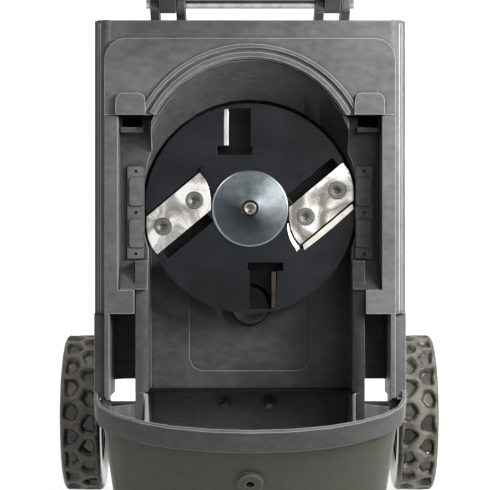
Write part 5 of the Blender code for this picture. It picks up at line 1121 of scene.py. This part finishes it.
def add_ramp(name, number, lines, material):
    """A thin sloped strip along (near, far) pairs of points in a pocket's frame."""
    work = bmesh.new()
    pocket = pocket_frame(number)
    rows = []
    for near, far in lines:
        section = ((near, RAMP_LOW), (far, RAMP_HIGH), (far, RAMP_HIGH - RAMP_THICK),
                   (near, RAMP_LOW - RAMP_THICK))
        rows.append([work.verts.new(pocket @ Vector((x, y, w))) for (x, y), w in section])
    work.faces.new(rows[0])
    work.faces.new(rows[-1][::-1])
    join_rings(work, zip(rows, rows[1:]))
    piece = finish_mesh(work, name)
    piece.data.materials.append(material)
    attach(piece, BODY_OF["blade_disc"])


print("ramps rise", round((RAMP_HIGH - RAMP_LOW) * 1000, 2), "mm")

# %% [markdown]
# A knife is a parallelogram whose ends lean 14.8 mm over its width of 34 mm, so every line
# beside it leans too. The ramp behind it is an even strip, a little wavy from hand grinding.
# The one beside the inner end follows the bulge of the pocket and widens from half a
# millimetre at the knife's middle.

# %% Ramps in the knife pockets
LEAN = 0.0148 / 0.034
RAMP_STEPS = 12
BACK_NEAR, BACK_FAR = KNIFE_HALF_WIDTH + 0.0017, KNIFE_HALF_WIDTH + 0.0062
BACK_HALF = KNIFE_HALF_LENGTH - 0.0025
WAVE = 0.0009
INNER_START, INNER_LENGTH = -0.006, KNIFE_HALF_WIDTH + 0.0085
INNER_NEAR, INNER_FAR = 0.0016, 0.0021
BULGE, WIDENING = 0.0045, 0.0038


def back_line(share):
    """Behind the knife: share goes from 0 at the outer end to 1 at the inner one."""
    far = BACK_FAR + WAVE * math.sin(3 * share)
    x = (share * 2 - 1) * BACK_HALF
    return (x + LEAN * BACK_NEAR, BACK_NEAR), (x + LEAN * far, far)


def inner_line(share):
    """Beside the inner end: share goes from 0 at the knife's middle to 1 at its back corner."""
    y = INNER_START + share * INNER_LENGTH
    bulge = BULGE * (1 - min(1, abs(y) / KNIFE_HALF_WIDTH) ** 2)
    x = KNIFE_HALF_LENGTH + bulge + LEAN * y
    return (x + INNER_NEAR, y), (x + INNER_FAR + WIDENING * math.sqrt(share), y)


# Knife 2's ramp is bright steel as a painted highlight, and knife 1's keeps the paint.
for number, finish in ((1, DISC_PAINT), (2, RAMP_HIGHLIGHT_STEEL)):
    for kind, line in (("back", back_line), ("inner", inner_line)):
        lines = [line(step / RAMP_STEPS) for step in range(RAMP_STEPS + 1)]
        add_ramp(f"pocket_ramp_{number}_{kind}", number, lines, finish)
print("pocket ramps made")

# %% [markdown]
# The floor is pale and so is the room. Light Path shows the camera, and whatever is shiny or
# clear, a white floor and a white room, while the light that falls on dull surfaces stays
# plain. So a white background costs no extra light on the machine.

# %% Floor
FLOOR_HALF = 6.0
FLOOR_GLOW = 0.8


def seen_directly(tree):
    """1 for rays from the camera and from shiny or clear surfaces, and 0 for the rest."""
    rays = add_node(tree, "ShaderNodeLightPath").outputs
    first = add_node(
        tree, "ShaderNodeMath", links={0: rays["Is Camera Ray"], 1: rays["Is Glossy Ray"]},
        operation="MAXIMUM").outputs["Value"]
    return add_node(
        tree, "ShaderNodeMath", links={0: first, 1: rays["Is Transmission Ray"]},
        operation="MAXIMUM").outputs["Value"]


FLOOR_WHITE, tree, shader = new_material("pale_floor", "#e8e8e6", 0.9)
glow = add_node(
    tree, "ShaderNodeMath", {1: FLOOR_GLOW}, {0: seen_directly(tree)},
    operation="MULTIPLY").outputs["Value"]
shader.inputs["Emission Color"].default_value = linear("#ffffff")
feed(tree, shader, {"Emission Strength": glow})
corners = [(-1, -1), (1, -1), (1, 1), (-1, 1)]
mesh = bpy.data.meshes.new("floor")
mesh.from_pydata([(x * FLOOR_HALF, y * FLOOR_HALF, 0) for x, y in corners], [], [(0, 1, 2, 3)])
mesh.materials.append(FLOOR_WHITE)
floor = bpy.data.objects.new("floor", mesh)
bpy.context.scene.collection.objects.link(floor)
print("floor", FLOOR_HALF * 2, "m wide")

# %% [markdown]
# The main lamp stands to the right of the disc and a little above it, as in the photograph,
# where the right walls of the pockets are dark and the left ones lit. At 0.3 m it is small
# enough to draw a line of light along a painted edge, and large enough for soft shadows. Two
# weak lamps soften its shadows from the front and the left, and a large one lights the back. A
# lamp's level is 1 where its light alone would make a white card at its aim look white.

# %% Lamps
FULL_LEVEL = math.pi ** 2
AT_DISC = on_disc(0, 0, 0)


def soft_lamp(name, place, aim, size, level):
    """A square lamp of this size in metres and this level at the point it is aimed at."""
    data = bpy.data.lights.new(name, "AREA")
    data.shape = "SQUARE"
    data.size = size
    data.energy = FULL_LEVEL * level * (aim - place).length_squared
    lamp = bpy.data.objects.new(name, data)
    bpy.context.scene.collection.objects.link(lamp)
    lamp.location = place
    lamp.rotation_euler = (aim - place).to_track_quat("-Z", "Y").to_euler()


soft_lamp("main_lamp", on_disc(0.61, 0.29, 0.46), AT_DISC, 0.3, 1.65)
soft_lamp("front_lamp", on_disc(0.5, 0.29, 1.2), AT_DISC, 0.4, 0.2)
soft_lamp("left_lamp", on_disc(-0.55, 0.6, 0.8), AT_DISC, 0.3, 0.16)
soft_lamp("back_lamp", Vector((0.4, 1.9, 2.6)), Vector((0, 0, 0.5)), 1.6, 0.35)
print("lamps:", len(bpy.data.lights))

# %% [markdown]
# The room fills the shadows evenly, with about a tenth of full white.

# %% Room
FILL = 0.11

world = bpy.data.worlds.new("room")
bpy.context.scene.world = world
world.use_nodes = True
tree = world.node_tree
background = tree.nodes["Background"]
background.inputs["Color"].default_value = linear("#ffffff")
strength = add_node(
    tree, "ShaderNodeMapRange", {"To Min": FILL, "To Max": 1.0},
    {"Value": seen_directly(tree)}).outputs["Result"]
feed(tree, background, {"Strength": strength})
print("fill", FILL)
